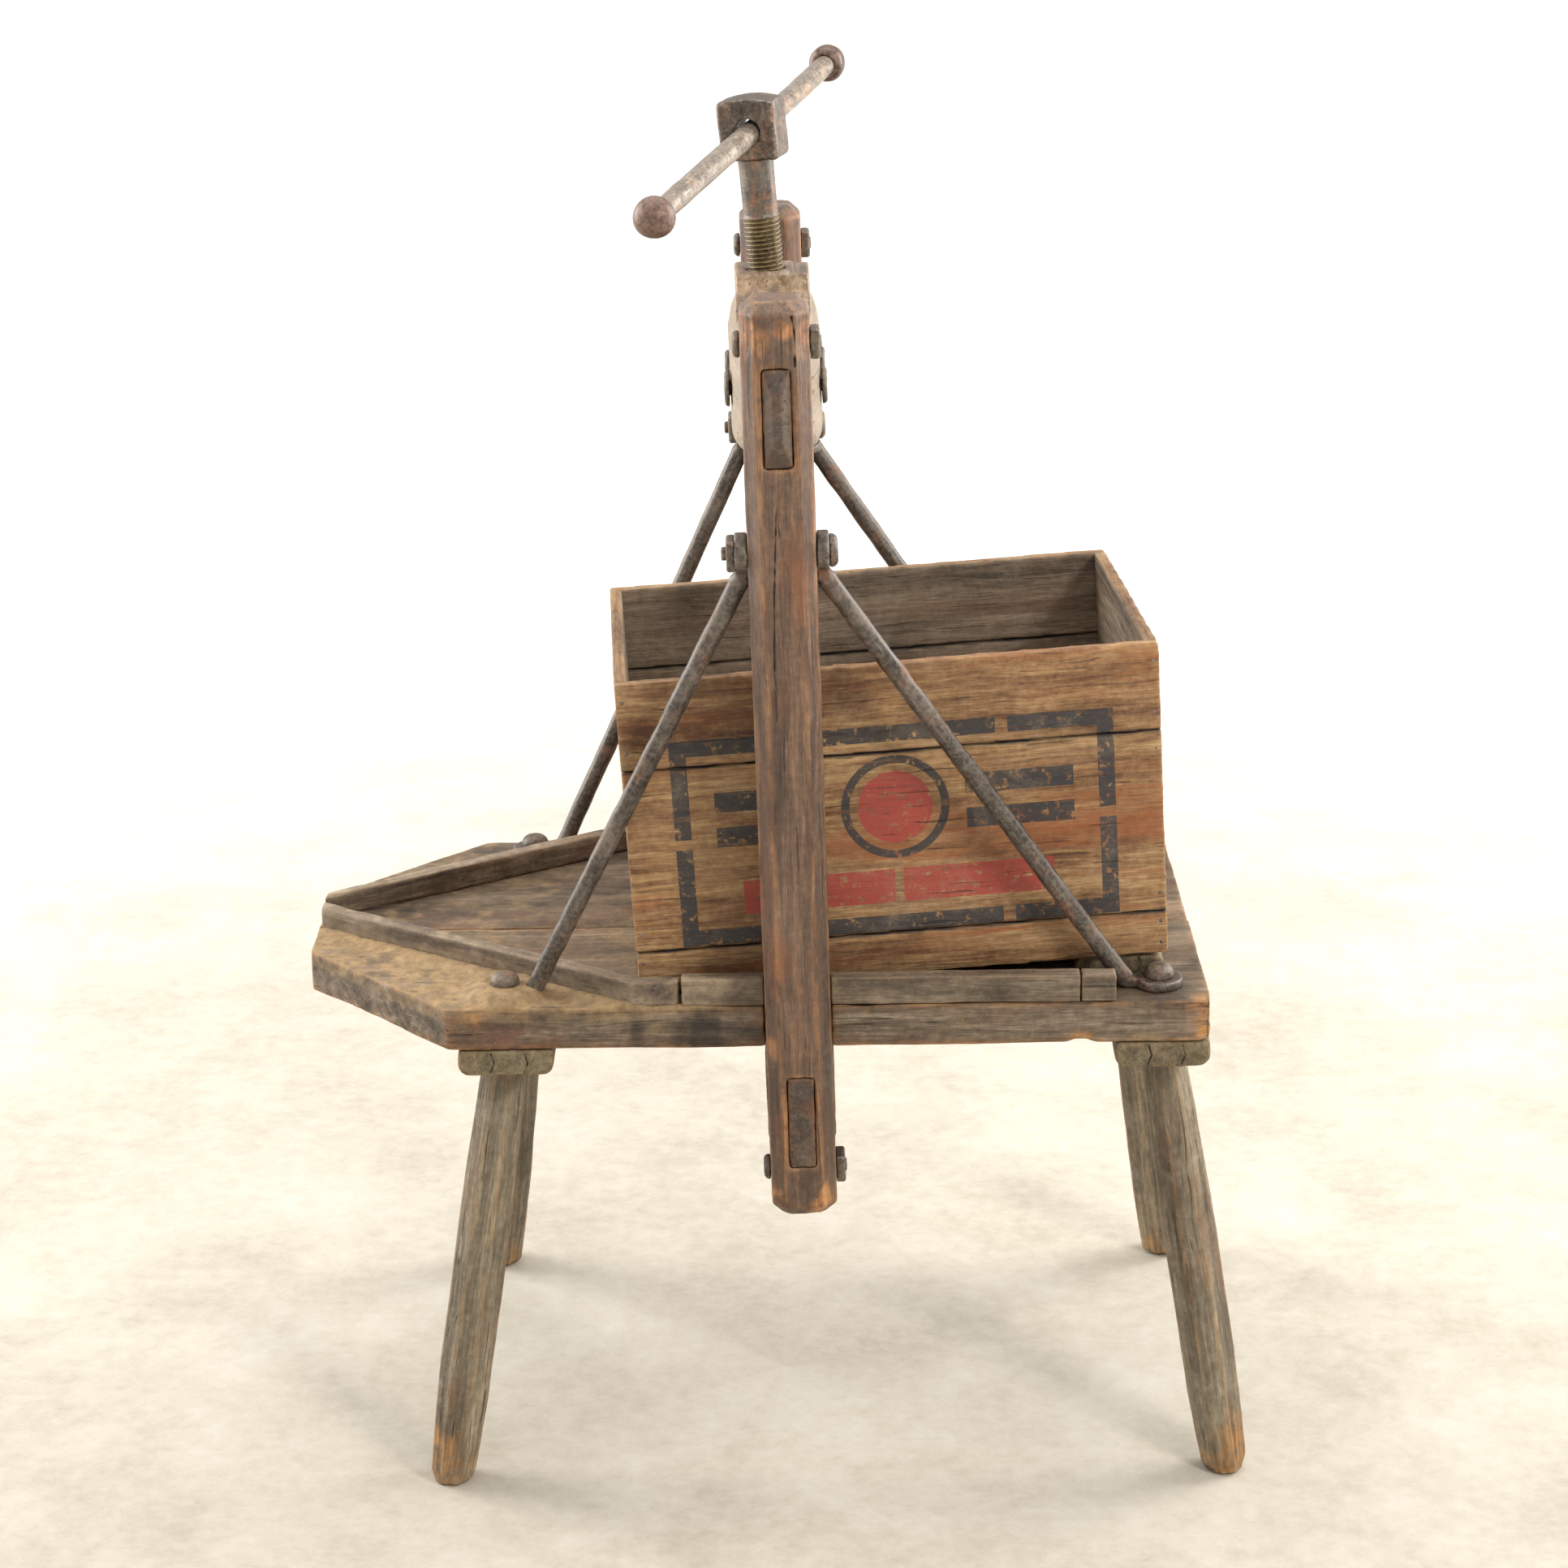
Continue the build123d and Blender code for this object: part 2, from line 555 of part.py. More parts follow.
def press_shoe():
    """The iron foot that swivels on the screw's end pin."""
    top = THREAD_BOTTOM - SHOE_GAP
    neck_radius, neck_foot_radius, neck_drop, rim_drop = SHOE_NECK
    outline = Polyline(
        (0, top),
        (neck_radius, top),
        (neck_foot_radius, top - neck_drop),
        (SHOE_RADIUS, top - rim_drop),
        (SHOE_RADIUS, top - SHOE_HEIGHT + SHOE_CHAMFER),
        (SHOE_RADIUS - SHOE_CHAMFER, top - SHOE_HEIGHT),
        (0, top - SHOE_HEIGHT),
        close=True,
    )
    body = revolve(make_face(Plane.XZ * outline), Axis.Z)
    body -= along_screw(THREAD_BOTTOM - PIN_LENGTH - SHOE_GAP, THREAD_BOTTOM, PIN_RADIUS + SHOE_CLEARANCE)
    return body - keeper_place() * Cylinder(KEEPER_RADIUS, 3 * SHOE_RADIUS)


def keeper_pin():
    return keeper_place() * Cylinder(KEEPER_RADIUS, KEEPER_LENGTH)


bar_place = (
    screw_place
    * Pos(0, 0, HEAD_BOTTOM + HEAD_HEIGHT / 2)
    * Rot(0, 0, HEAD_YAW)
    * Rot(BAR_TILT, 0, 0)
)


def ball_end():
    return Pos(0, -BAR_NEAR, 0) * Sphere(BALL_RADIUS) - rod_between((0, -BAR_NEAR, 0), (0, 0, 0), BAR_RADIUS)


def button_end():
    """The flattened mushroom end of the bar."""
    button = Pos(0, BAR_FAR, 0) * Rot(90, 0, 0) * Cylinder(BUTTON_RADIUS, BUTTON_LENGTH)
    button = fillet(button.edges(), BUTTON_ROUND)
    return button - rod_between((0, BAR_FAR, 0), (0, 0, 0), BAR_RADIUS)


def tommy_bar():
    return rod_between((0, -BAR_NEAR, 0), (0, BAR_FAR, 0), BAR_RADIUS)


def stacked(heights):
    """The bottom and top of each board in a wall, from the bottom board up."""
    base = 0.0
    spans = []
    for height in heights:
        spans.append((base, base + height - BOARD_GAP))
        base += height
    return spans


def crate_boards():
    """Every board of the crate, by name, in the crate's own corner frame."""
    boards = {}
    front_names = ("bottom", "middle", "top")
    for name, z_span in zip(front_names, stacked(FRONT_BOARD_HEIGHTS)):
        boards["crate_front_" + name] = span_box((0, CRATE_LENGTH), (0, BOARD), z_span)
        boards["crate_back_" + name] = span_box((0, CRATE_LENGTH), (CRATE_DEPTH - BOARD, CRATE_DEPTH), z_span)
    inner_y = (BOARD, CRATE_DEPTH - BOARD)
    for name, z_span in zip(("lower", "upper"), stacked(END_BOARD_HEIGHTS)):
        boards["crate_left_" + name] = span_box((0, BOARD), inner_y, z_span)
        boards["crate_right_" + name] = span_box((CRATE_LENGTH - BOARD, CRATE_LENGTH), inner_y, z_span)
    width = (CRATE_DEPTH - 2 * BOARD) / FLOOR_BOARDS
    for number in range(FLOOR_BOARDS):
        start = BOARD + number * width
        span = (start, start + width - BOARD_GAP)
        boards["crate_floor_" + str(number + 1)] = span_box((BOARD, CRATE_LENGTH - BOARD), span, (0, BOARD))
    return boards


def crate_nails():
    """Round wire nails through the front and back boards into the end boards."""
    nails = []
    for bottom, top in stacked(FRONT_BOARD_HEIGHTS):
        inset = min(NAIL_INSET, (top - bottom) / 4)
        for z in (bottom + inset, top - inset):
            for x in (BOARD / 2, CRATE_LENGTH - BOARD / 2):
                nails.append(rod_between((x, -NAIL_PROUD, z), (x, NAIL_LENGTH, z), NAIL_RADIUS))
                back = CRATE_DEPTH + NAIL_PROUD
                nails.append(rod_between((x, back, z), (x, back - NAIL_LENGTH, z), NAIL_RADIUS))
    return nails


def without(solid, cutters):
    for cutter in cutters:
        solid = solid - cutter
    return solid


def build():
    """Every node of the press, by name, as a list of its solids where it stands."""
    nodes = {}
    cutters = bed_cutters()
    nodes["bed_near_plank"] = [without(bed_outline(-BED_HALF_DEPTH, PLANK_SEAM_Y - PLANK_GAP / 2), cutters)]
    nodes["bed_far_plank"] = [without(bed_outline(PLANK_SEAM_Y + PLANK_GAP / 2, BED_HALF_DEPTH), cutters)]
    nodes["left_batten"] = [without(batten(LEFT_BATTEN_X), cutters)]
    nodes["right_batten"] = [without(batten(RIGHT_BATTEN_X), cutters)]
    for name in LEG_TOPS:
        nodes[name] = [leg(name)]
    for side_name, side in NEAR_FAR.items():
        nodes[side_name + "_spout_rail"] = [spout_rail(side)]
        nodes[side_name + "_side_rail"] = list(side_rail(side).solids())
        nodes[side_name + "_rail_block"] = [rail_block(side)]
        nodes[side_name + "_post"] = [frame_place * post(side_name)]
        for end_name in LEFT_RIGHT:
            nodes[side_name + "_" + end_name + "_brace"] = [brace(side_name, end_name)]
    nodes["crate_cleat"] = [cleat()]
    bore = along_screw(THREAD_BOTTOM, THREAD_TOP, THREAD_RADIUS + BORE_CLEARANCE)
    nodes["top_beam"] = [frame_place * top_beam() - screw_place * (bore + nut_outline())]
    bed_space = span_box(WIDE, (-BED_HALF_DEPTH, BED_HALF_DEPTH), (BED_BOTTOM, BED_TOP))
    nodes["lower_beam"] = [frame_place * lower_beam() - bed_space]
    nodes["screw_nut"] = [screw_place * screw_nut()]
    sides = NEAR_FAR.values()
    cheek_seat = POST_WIDTH / 2
    brace_seat = POST_WIDTH / 2 + EYE_THICK
    cheeks = [(side, height) for side in sides for height in CHEEK_BOLT_Z]
    cheek_stub = CHEEK_NUT[1] + CHEEK_STUB
    nodes["cheek_bolts"] = [
        frame_place * cross_bolt(side, height, CHEEK_HEAD, cheek_seat, cheek_stub) for side, height in cheeks
    ]
    nodes["cheek_nuts"] = [
        frame_place * cross_nut(side, height, CHEEK_NUT, cheek_seat) for side, height in cheeks
    ]
    brace_stub = BRACE_NUT[1] + NUT_STUB
    nodes["brace_bolts"] = [
        frame_place * cross_bolt(side, BRACE_BOLT_Z, BRACE_HEAD, brace_seat, brace_stub) for side in sides
    ]
    nodes["brace_nuts"] = [
        frame_place * cross_nut(side, BRACE_BOLT_Z, BRACE_NUT, brace_seat) for side in sides
    ]
    nodes["beam_bolts"] = [frame_place * beam_bolt(side) for side in sides]
    nodes["beam_bolt_caps"] = [frame_place * beam_rivet_cap(side) for side in sides]
    feet = [(side, x) for side in sides for x in FOOT_BOLT_X.values()]
    nodes["foot_bolts"] = [foot_bolt(side, x) for side, x in feet]
    nodes["foot_nuts"] = [foot_nut(side, x) for side, x in feet]
    nodes["press_screw"] = [screw_place * press_screw()]
    nodes["screw_head"] = [screw_place * screw_head()]
    nodes["press_shoe"] = [screw_place * press_shoe()]
    nodes["shoe_keeper_pin"] = [screw_place * keeper_pin()]
    nodes["tommy_bar"] = [bar_place * tommy_bar()]
    nodes["bar_ball_end"] = [bar_place * ball_end()]
    nodes["bar_button_end"] = [bar_place * button_end()]
    nails = crate_nails()
    for name, board in crate_boards().items():
        nodes[name] = [crate_place * without(board, nails)]
    nodes["crate_nails"] = [crate_place * nail for nail in nails]
    return nodes


os.makedirs("parts", exist_ok=True)
shift = Pos(*ORIGIN_SHIFT)
for node, solids in build().items():
    placed = [shift * solid for solid in solids]
    shape = placed[0] if len(placed) == 1 else Compound(children=placed)
    export_step(shape, "parts/" + node + ".step")
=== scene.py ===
import json
import math
import zlib

import bpy
import bmesh
import numpy as np
from mathutils import Matrix, Vector


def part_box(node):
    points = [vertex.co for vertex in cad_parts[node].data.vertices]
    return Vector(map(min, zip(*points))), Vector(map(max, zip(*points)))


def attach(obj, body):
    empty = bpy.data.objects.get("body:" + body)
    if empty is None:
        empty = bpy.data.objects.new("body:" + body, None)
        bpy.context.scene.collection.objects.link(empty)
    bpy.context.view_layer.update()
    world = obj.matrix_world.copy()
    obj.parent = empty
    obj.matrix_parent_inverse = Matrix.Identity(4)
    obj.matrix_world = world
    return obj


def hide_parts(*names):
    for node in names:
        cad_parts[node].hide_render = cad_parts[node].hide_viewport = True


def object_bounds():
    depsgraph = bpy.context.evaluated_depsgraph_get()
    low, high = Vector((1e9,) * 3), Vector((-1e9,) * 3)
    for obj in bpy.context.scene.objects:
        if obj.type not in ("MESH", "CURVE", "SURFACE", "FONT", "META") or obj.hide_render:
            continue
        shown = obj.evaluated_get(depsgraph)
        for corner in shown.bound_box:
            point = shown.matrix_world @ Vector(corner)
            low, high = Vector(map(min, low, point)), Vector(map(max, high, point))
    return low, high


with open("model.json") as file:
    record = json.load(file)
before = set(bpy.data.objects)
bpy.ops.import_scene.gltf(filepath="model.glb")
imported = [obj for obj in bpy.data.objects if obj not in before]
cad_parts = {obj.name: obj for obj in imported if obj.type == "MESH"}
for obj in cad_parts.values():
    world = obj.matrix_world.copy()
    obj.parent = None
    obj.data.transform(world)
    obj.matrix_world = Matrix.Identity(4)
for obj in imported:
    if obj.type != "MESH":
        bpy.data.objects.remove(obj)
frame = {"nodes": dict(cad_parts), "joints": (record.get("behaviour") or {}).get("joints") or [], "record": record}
CAD_BOX = [list(corner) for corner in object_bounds()]
NODES = frame["nodes"]
BODIES = frame["record"]["behaviour"]["bodies"]
BODY_OF = {node: body for body, members in BODIES.items() for node in members}
JOINTS = {joint["name"]: joint for joint in frame["joints"]}

MM = 0.001
INCH = 25.4 * MM


# ---- small numeric helpers ----
SEED_COUNT = 9973
HASH_STEPS = (374761393, 668265263, 1442695041)
HASH_SEED_STEP = 1274126177
HASH_BITS = 0xFFFFFFFF
HASH_KEPT_BITS = 0xFFFFFF
HASH_HALF_RANGE = 0x7FFFFF


def seed_of(name):
    """A whole number that is always the same for the same name."""
    return zlib.crc32(name.encode()) % SEED_COUNT


def lattice(ix, iy, iz, seed):
    """A scrambled number from -1 to 1 for each point of a grid, the same on every run."""
    step_x, step_y, step_z = HASH_STEPS
    h = (ix * step_x + iy * step_y + iz * step_z + seed * HASH_SEED_STEP) & HASH_BITS
    h = ((h ^ (h >> 13)) * HASH_SEED_STEP) & HASH_BITS
    return ((h ^ (h >> 16)) & HASH_KEPT_BITS) / float(HASH_HALF_RANGE) - 1.0


def noise(points, seed=0):
    """Smooth value noise from -1 to 1 at each row of points, one cell per unit."""
    base = np.floor(points)
    f = points - base
    f = f * f * (3 - 2 * f)
    base = base.astype(np.int64)
    total = np.zeros(len(points))
    for dx in (0, 1):
        for dy in (0, 1):
            for dz in (0, 1):
                w = (f[:, 0] if dx else 1 - f[:, 0]) * (f[:, 1] if dy else 1 - f[:, 1])
                w = w * (f[:, 2] if dz else 1 - f[:, 2])
                total += w * lattice(base[:, 0] + dx, base[:, 1] + dy, base[:, 2] + dz, seed)
    return total


def fbm(points, octaves=3, seed=0):
    """Noise at several sizes, each half as large and half as strong as the one before."""
    total, size = np.zeros(len(points)), 1.0
    for k in range(octaves):
        total += noise(points * 2.0 ** k, seed + 17 * k) * size
        size *= 0.5
    return total / (2 - 2.0 ** (1 - octaves))


def ease(x, low, high):
    """0 below low, 1 above high, and a smooth rise between them."""
    t = np.clip((x - low) / (high - low), 0, 1)
    return t * t * (3 - 2 * t)


def mesh_points(mesh):
    co = np.empty(len(mesh.vertices) * 3)
    mesh.vertices.foreach_get("co", co)
    return co.reshape(-1, 3)


def mesh_normals(mesh):
    n = np.empty(len(mesh.vertices) * 3, np.float32)
    mesh.vertex_normals.foreach_get("vector", n)
    return n.reshape(-1, 3).astype(float)


def mesh_edges(mesh):
    e = np.empty(len(mesh.edges) * 2, np.int32)
    mesh.edges.foreach_get("vertices", e)
    return e.reshape(-1, 2)


def relax(co, edges, rounds, strength=0.5):
    """Laplacian smoothing: each point moves towards the mean of its neighbours."""
    count = np.bincount(edges.ravel(), minlength=len(co)).astype(float)
    count[count == 0] = 1
    for _ in range(rounds):
        mean = np.empty_like(co)
        for k in range(3):
            mean[:, k] = np.bincount(edges[:, 0], co[edges[:, 1], k], len(co))
            mean[:, k] += np.bincount(edges[:, 1], co[edges[:, 0], k], len(co))
        co = co + strength * (mean / count[:, None] - co)
    return co


# ---- frames: w runs along the grain ----
class Grain:
    """Three unit axes and a centre: local coordinates (u, v, w) with w along the grain, in metres."""

    def __init__(self, u, v, w, centre):
        self.axes = np.array([u, v, w], float)
        self.centre = np.array(centre, float)

    def local(self, points):
        return (points - self.centre) @ self.axes.T


def triangle_frames(points, mesh):
    """Two directions of a boxy mesh: the one most of its surface faces, and the next one square to it."""
    least_area, most_tried, same_way, square = 1e-10, 60, 0.9995, 0.02
    mesh.calc_loop_triangles()
    tri = np.empty(len(mesh.loop_triangles) * 3, np.int32)
    mesh.loop_triangles.foreach_get("vertices", tri)
    tri = tri.reshape(-1, 3)
    cross = np.cross(points[tri[:, 1]] - points[tri[:, 0]], points[tri[:, 2]] - points[tri[:, 0]])
    area = np.linalg.norm(cross, axis=1)
    good = area > least_area
    unit = cross[good] / area[good][:, None]
    area = area[good]
    order = np.argsort(-area)[:most_tried]

    def heaviest(allowed):
        best, weight = None, -1
        for i in order:
            if not allowed(unit[i]):
                continue
            near = np.abs(unit @ unit[i]) > same_way
            if area[near].sum() > weight:
                best, weight = unit[i], area[near].sum()
        return best

    first = heaviest(lambda n: True)
    second = heaviest(lambda n: abs(n @ first) < square)
    return first, second


def boxy_grain(node):
    """Grain along the longest side of a board-like node."""
    mesh = NODES[node].data
    points = mesh_points(mesh)
    first, second = triangle_frames(points, mesh)
    axes = [first, second, np.cross(first, second)]
    spans = [np.ptp(points @ axis) for axis in axes]
    ranked = sorted(range(3), key=lambda k: spans[k])
    u, v, w = (axes[k] for k in ranked)
    if w[int(np.argmax(np.abs(w)))] < 0:
        w = -w
    centre = sum(axis * ((points @ axis).max() + (points @ axis).min()) / 2 for axis in axes)
    return Grain(u, v, w, centre)


def long_grain(node):
    """Grain along the main run of a node that isn't boxy, such as a leg or a rod."""
    points = mesh_points(NODES[node].data)
    centre = points.mean(0)
    _, _, vt = np.linalg.svd(points - centre, full_matrices=False)
    w = vt[0] if vt[0][int(np.argmax(np.abs(vt[0])))] > 0 else -vt[0]
    side = np.cross(w, (0, 1, 0))
    side /= np.linalg.norm(side)
    return Grain(side, np.cross(w, side), w, centre)


# ---- pieces ----
WELD = 1e-6


def put_attribute(mesh, name, values, kind="FLOAT"):
    """Writes one number or vector for each point of a mesh."""
    layer = mesh.attributes.new(name, kind, "POINT")
    field = "vector" if kind == "FLOAT_VECTOR" else "value"
    layer.data.foreach_set(field, np.ascontiguousarray(values, np.float32).ravel())


def remeshed(name, node, voxel):
    """A closed mesh of even quads from a CAD node."""
    bm = bmesh.new()
    bm.from_mesh(NODES[node].data)
    bmesh.ops.remove_doubles(bm, verts=bm.verts, dist=WELD)
    mesh = bpy.data.meshes.new(name)
    bm.to_mesh(mesh)
    bm.free()
    obj = bpy.data.objects.new(name, mesh)
    bpy.context.scene.collection.objects.link(obj)
    mod = obj.modifiers.new("even", "REMESH")
    mod.mode = "VOXEL"
    mod.voxel_size = voxel
    bpy.context.view_layer.update()
    done = bpy.data.meshes.new_from_object(obj.evaluated_get(bpy.context.evaluated_depsgraph_get()))
    obj.modifiers.clear()
    obj.data = done
    done.name = name
    bpy.data.meshes.remove(mesh)
    return obj


def refine(mesh, keep, cuts=2):
    """Splits the faces round the points that keep() picks, so that a narrow split has geometry to bend."""
    for _ in range(cuts):
        bm = bmesh.new()
        bm.from_mesh(mesh)
        bm.verts.ensure_lookup_table()
        picked = keep(np.array([v.co for v in bm.verts]))
        edges = [e for e in bm.edges if picked[e.verts[0].index] or picked[e.verts[1].index]]
        bmesh.ops.subdivide_edges(bm, edges=edges, cuts=1, use_grid_fill=True)
        bmesh.ops.triangulate(bm, faces=[f for f in bm.faces if len(f.verts) > 4])
        bm.to_mesh(mesh)
        bm.free()


def to_path(points, path):
    """Distance from each point to a polyline."""
    best = np.full(len(points), np.inf)
    for a, b in zip(path[:-1], path[1:]):
        a, b = np.array(a, float), np.array(b, float)
        run = b - a
        t = np.clip(((points - a) @ run) / (run @ run), 0, 1)
        best = np.minimum(best, np.linalg.norm(points - a - t[:, None] * run, axis=1))
    return best


def weathered(node, voxel, material, grain, round_least=2, round_most=8, dents=0.4, dent_size=35,
              grooves=0.25, wear_rounds=10, cracks=(), bias=0.35, worn_at=(), dirt=None, shape=None,
              painted_light=None, pits=1.0, stains_and_seam_shade=None):
    """A worn copy of a CAD node, clipped to the CAD model's own box.

    Its mesh is even, its edges are rounded unevenly, and it gets shallow dents, grooves along the grain,
    chips at worn_at and packed dirt from dirt(). The materials read the numbers that it carries: place
    along the grain, edge wear, hollows, cracks with dark stain marks and painted shade along seams, dirt,
    and painted light that lightens chosen faces as if lit.
    """
    name = node + "_worn"
    seed = seed_of(name)
    obj = remeshed(name, node, voxel)
    mesh = obj.data
    for path, width, _ in cracks:
        refine(mesh, lambda p, path=path, width=width: to_path(p, path) < width * 1.6 + voxel)
    co, edges, normals = mesh_points(mesh), mesh_edges(mesh), mesh_normals(mesh)
    local = grain.local(co)
    little = relax(co, edges, round_least)
    much = relax(little, edges, round_most)
    mix = ease(fbm(local * (9, 9, 5), 2, seed), -0.3, 0.5)[:, None]
    worn = little * (1 - mix) + much * mix
    deep = ((co - relax(co, edges, wear_rounds)) * normals).sum(1)
    wear = np.clip(deep / (0.8 * voxel), 0, 1)
    hollow = np.clip(-deep / (0.5 * voxel), 0, 1) * pits
    depth = dents * MM * (fbm(local * dent_size, 2, seed + 3) - bias)
    stretched = local * (260, 260, 9)
    depth -= grooves * MM * np.clip(noise(stretched, seed + 5), 0, 1) * 2
    crack_stain_and_shade = np.zeros(len(co))
    for path, width, deepness in cracks:
        wander = noise(local * 160, seed + 9) * width * 0.5
        gap = 1 - ease(to_path(co, path) + wander, width * 0.25, width)
        crack_stain_and_shade = np.maximum(crack_stain_and_shade, gap)
        depth -= deepness * gap
    rubbed = fbm(local * (90, 90, 30), 2, seed + 7)
    for place, radius, chip in worn_at:
        away = np.linalg.norm(co - np.array(place), axis=1) + rubbed * radius * 0.45
        near = 1 - ease(away, radius * 0.4, radius)
        wear = np.maximum(wear, near)
        depth -= chip * near
    soil = np.zeros(len(co))
    out = worn + normals * depth[:, None]
    if dirt is not None:
        heap, soil = dirt(co, normals)
        out[:, 2] += heap
    if shape is not None:
        out = shape(out, local, normals)
    out = np.clip(out, *CAD_BOX)
    mesh.vertices.foreach_set("co", out.ravel())
    mesh.update()
    offset = np.array([(seed % 89) * 0.11, (seed % 97) * 0.13, (seed % 61) * 0.37])
    put_attribute(mesh, "grain", local + offset, "FLOAT_VECTOR")
    put_attribute(mesh, "wear", wear)
    put_attribute(mesh, "hollow", hollow)
    # the stain argument adds real stain marks and, on the crate's boards, painted shade along the seams; both
    # darken like cracks
    if stains_and_seam_shade is not None:
        crack_stain_and_shade = np.maximum(crack_stain_and_shade, stains_and_seam_shade(co, normals) * (1 - 0.8 * soil))
    put_attribute(mesh, "crack_stain_and_shade", crack_stain_and_shade)
    put_attribute(mesh, "soil", soil)
    # painted light: how much each point's colour is lightened, as if more light fell on it
    put_attribute(mesh, "painted_light", np.zeros(len(co)) if painted_light is None else painted_light(co, normals))
    mesh.shade_smooth()
    mesh.materials.clear()
    mesh.materials.append(material)
    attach(obj, BODY_OF[node])
    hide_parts(node)
    return obj


# ---- node graphs ----
def tone(text):
    """A colour written as six hex digits, in Blender's linear values."""
    parts = [int(text[k:k + 2], 16) / 255 for k in (0, 2, 4)]
    toe, toe_slope, lift, power = 0.04045, 12.92, 0.055, 2.4
    return tuple(p / toe_slope if p <= toe else ((p + lift) / (1 + lift)) ** power for p in parts) + (1.0,)


# the colour sockets of a Mix node: its factor, its two inputs and its result
MIX_SOCKETS = (0, 6, 7, 2)


class Graph:
    """Short calls that add shader nodes and wire them up."""

    def __init__(self, name):
        self.material = bpy.data.materials.new(name)
        self.material.use_nodes = True
        self.tree = self.material.node_tree
        self.tree.nodes.clear()
        self.out = self.tree.nodes.new("ShaderNodeOutputMaterial")
        self.shader = self.tree.nodes.new("ShaderNodeBsdfPrincipled")
        self.tree.links.new(self.shader.outputs["BSDF"], self.out.inputs["Surface"])

    def put(self, socket, value):
        if isinstance(value, bpy.types.NodeSocket):
            self.tree.links.new(value, socket)
        else:
            socket.default_value = value

    def read(self, name, vector=False):
        node = self.tree.nodes.new("ShaderNodeAttribute")
        node.attribute_name = name
        return node.outputs["Vector" if vector else "Fac"]

    def math(self, kind, a, b=0.0, clamp=False):
        node = self.tree.nodes.new("ShaderNodeMath")
        node.operation = kind
        node.use_clamp = clamp
        self.put(node.inputs[0], a)
        self.put(node.inputs[1], b)
        return node.outputs[0]

    def scaled(self, vector, by):
        node = self.tree.nodes.new("ShaderNodeVectorMath")
        node.operation = "MULTIPLY"
        self.put(node.inputs[0], vector)
        node.inputs[1].default_value = by
        return node.outputs[0]

    def added(self, vector, other):
        node = self.tree.nodes.new("ShaderNodeVectorMath")
        node.operation = "ADD"
        self.put(node.inputs[0], vector)
        self.put(node.inputs[1], other)
        return node.outputs[0]

    def parts(self, vector):
        node = self.tree.nodes.new("ShaderNodeSeparateXYZ")
        self.put(node.inputs[0], vector)
        return node.outputs

    def noise(self, vector, scale, detail=3.0, rough=0.55, warp=0.0):
        node = self.tree.nodes.new("ShaderNodeTexNoise")
        self.put(node.inputs["Vector"], vector)
        node.inputs["Scale"].default_value = scale
        node.inputs["Detail"].default_value = detail
        node.inputs["Roughness"].default_value = rough
        node.inputs["Distortion"].default_value = warp
        return node.outputs["Fac"]

    def spread(self, value, low, high, out_low=0.0, out_high=1.0):
        node = self.tree.nodes.new("ShaderNodeMapRange")
        node.interpolation_type = "SMOOTHSTEP"
        self.put(node.inputs["Value"], value)
        node.inputs["From Min"].default_value = low
        node.inputs["From Max"].default_value = high
        node.inputs["To Min"].default_value = out_low
        node.inputs["To Max"].default_value = out_high
        return node.outputs["Result"]

    def ramp(self, value, *stops):
        node = self.tree.nodes.new("ShaderNodeValToRGB")
        self.put(node.inputs["Fac"], value)
        marks = node.color_ramp.elements
        while len(marks) < len(stops):
            marks.new(0.5)
        for mark, (place, colour) in zip(marks, stops):
            mark.position = place
            mark.color = tone(colour)
        return node.outputs["Color"]

    def mix(self, share, a, b, kind="MIX"):
        node = self.tree.nodes.new("ShaderNodeMix")
        node.data_type = "RGBA"
        node.blend_type = kind
        factor, first, second, result = MIX_SOCKETS
        self.put(node.inputs[factor], share)
        self.put(node.inputs[first], tone(a) if isinstance(a, str) else a)
        self.put(node.inputs[second], tone(b) if isinstance(b, str) else b)
        return node.outputs[result]

    def bump(self, height, depth, strength=1.0, under=None):
        node = self.tree.nodes.new("ShaderNodeBump")
        self.put(node.inputs["Height"], height)
        node.inputs["Distance"].default_value = depth
        node.inputs["Strength"].default_value = strength
        if under is not None:
            self.put(node.inputs["Normal"], under)
        return node.outputs["Normal"]

    def facing_up(self):
        node = self.tree.nodes.new("ShaderNodeNewGeometry")
        return self.parts(node.outputs["Normal"])[2]

    def finish(self, colour, rough, normal, metal, specular):
        self.put(self.shader.inputs["Base Color"], colour)
        self.put(self.shader.inputs["Roughness"], rough)
        self.put(self.shader.inputs["Normal"], normal)
        self.put(self.shader.inputs["Metallic"], metal)
        self.put(self.shader.inputs["Specular IOR Level"], specular)
        return self.material


RAMP_HALF = 0.12
GRIT_DEPTH, SCRATCH_DEPTH = 0.45 * MM, 0.2 * MM
SPLIT_DARK, CRACK_STAIN_SHADE_DARK, PIT_DARK, STAIN_GREY, CHIP_PALE = "17100c", "120d0a", "1a1512", "6e665e", "bdae98"


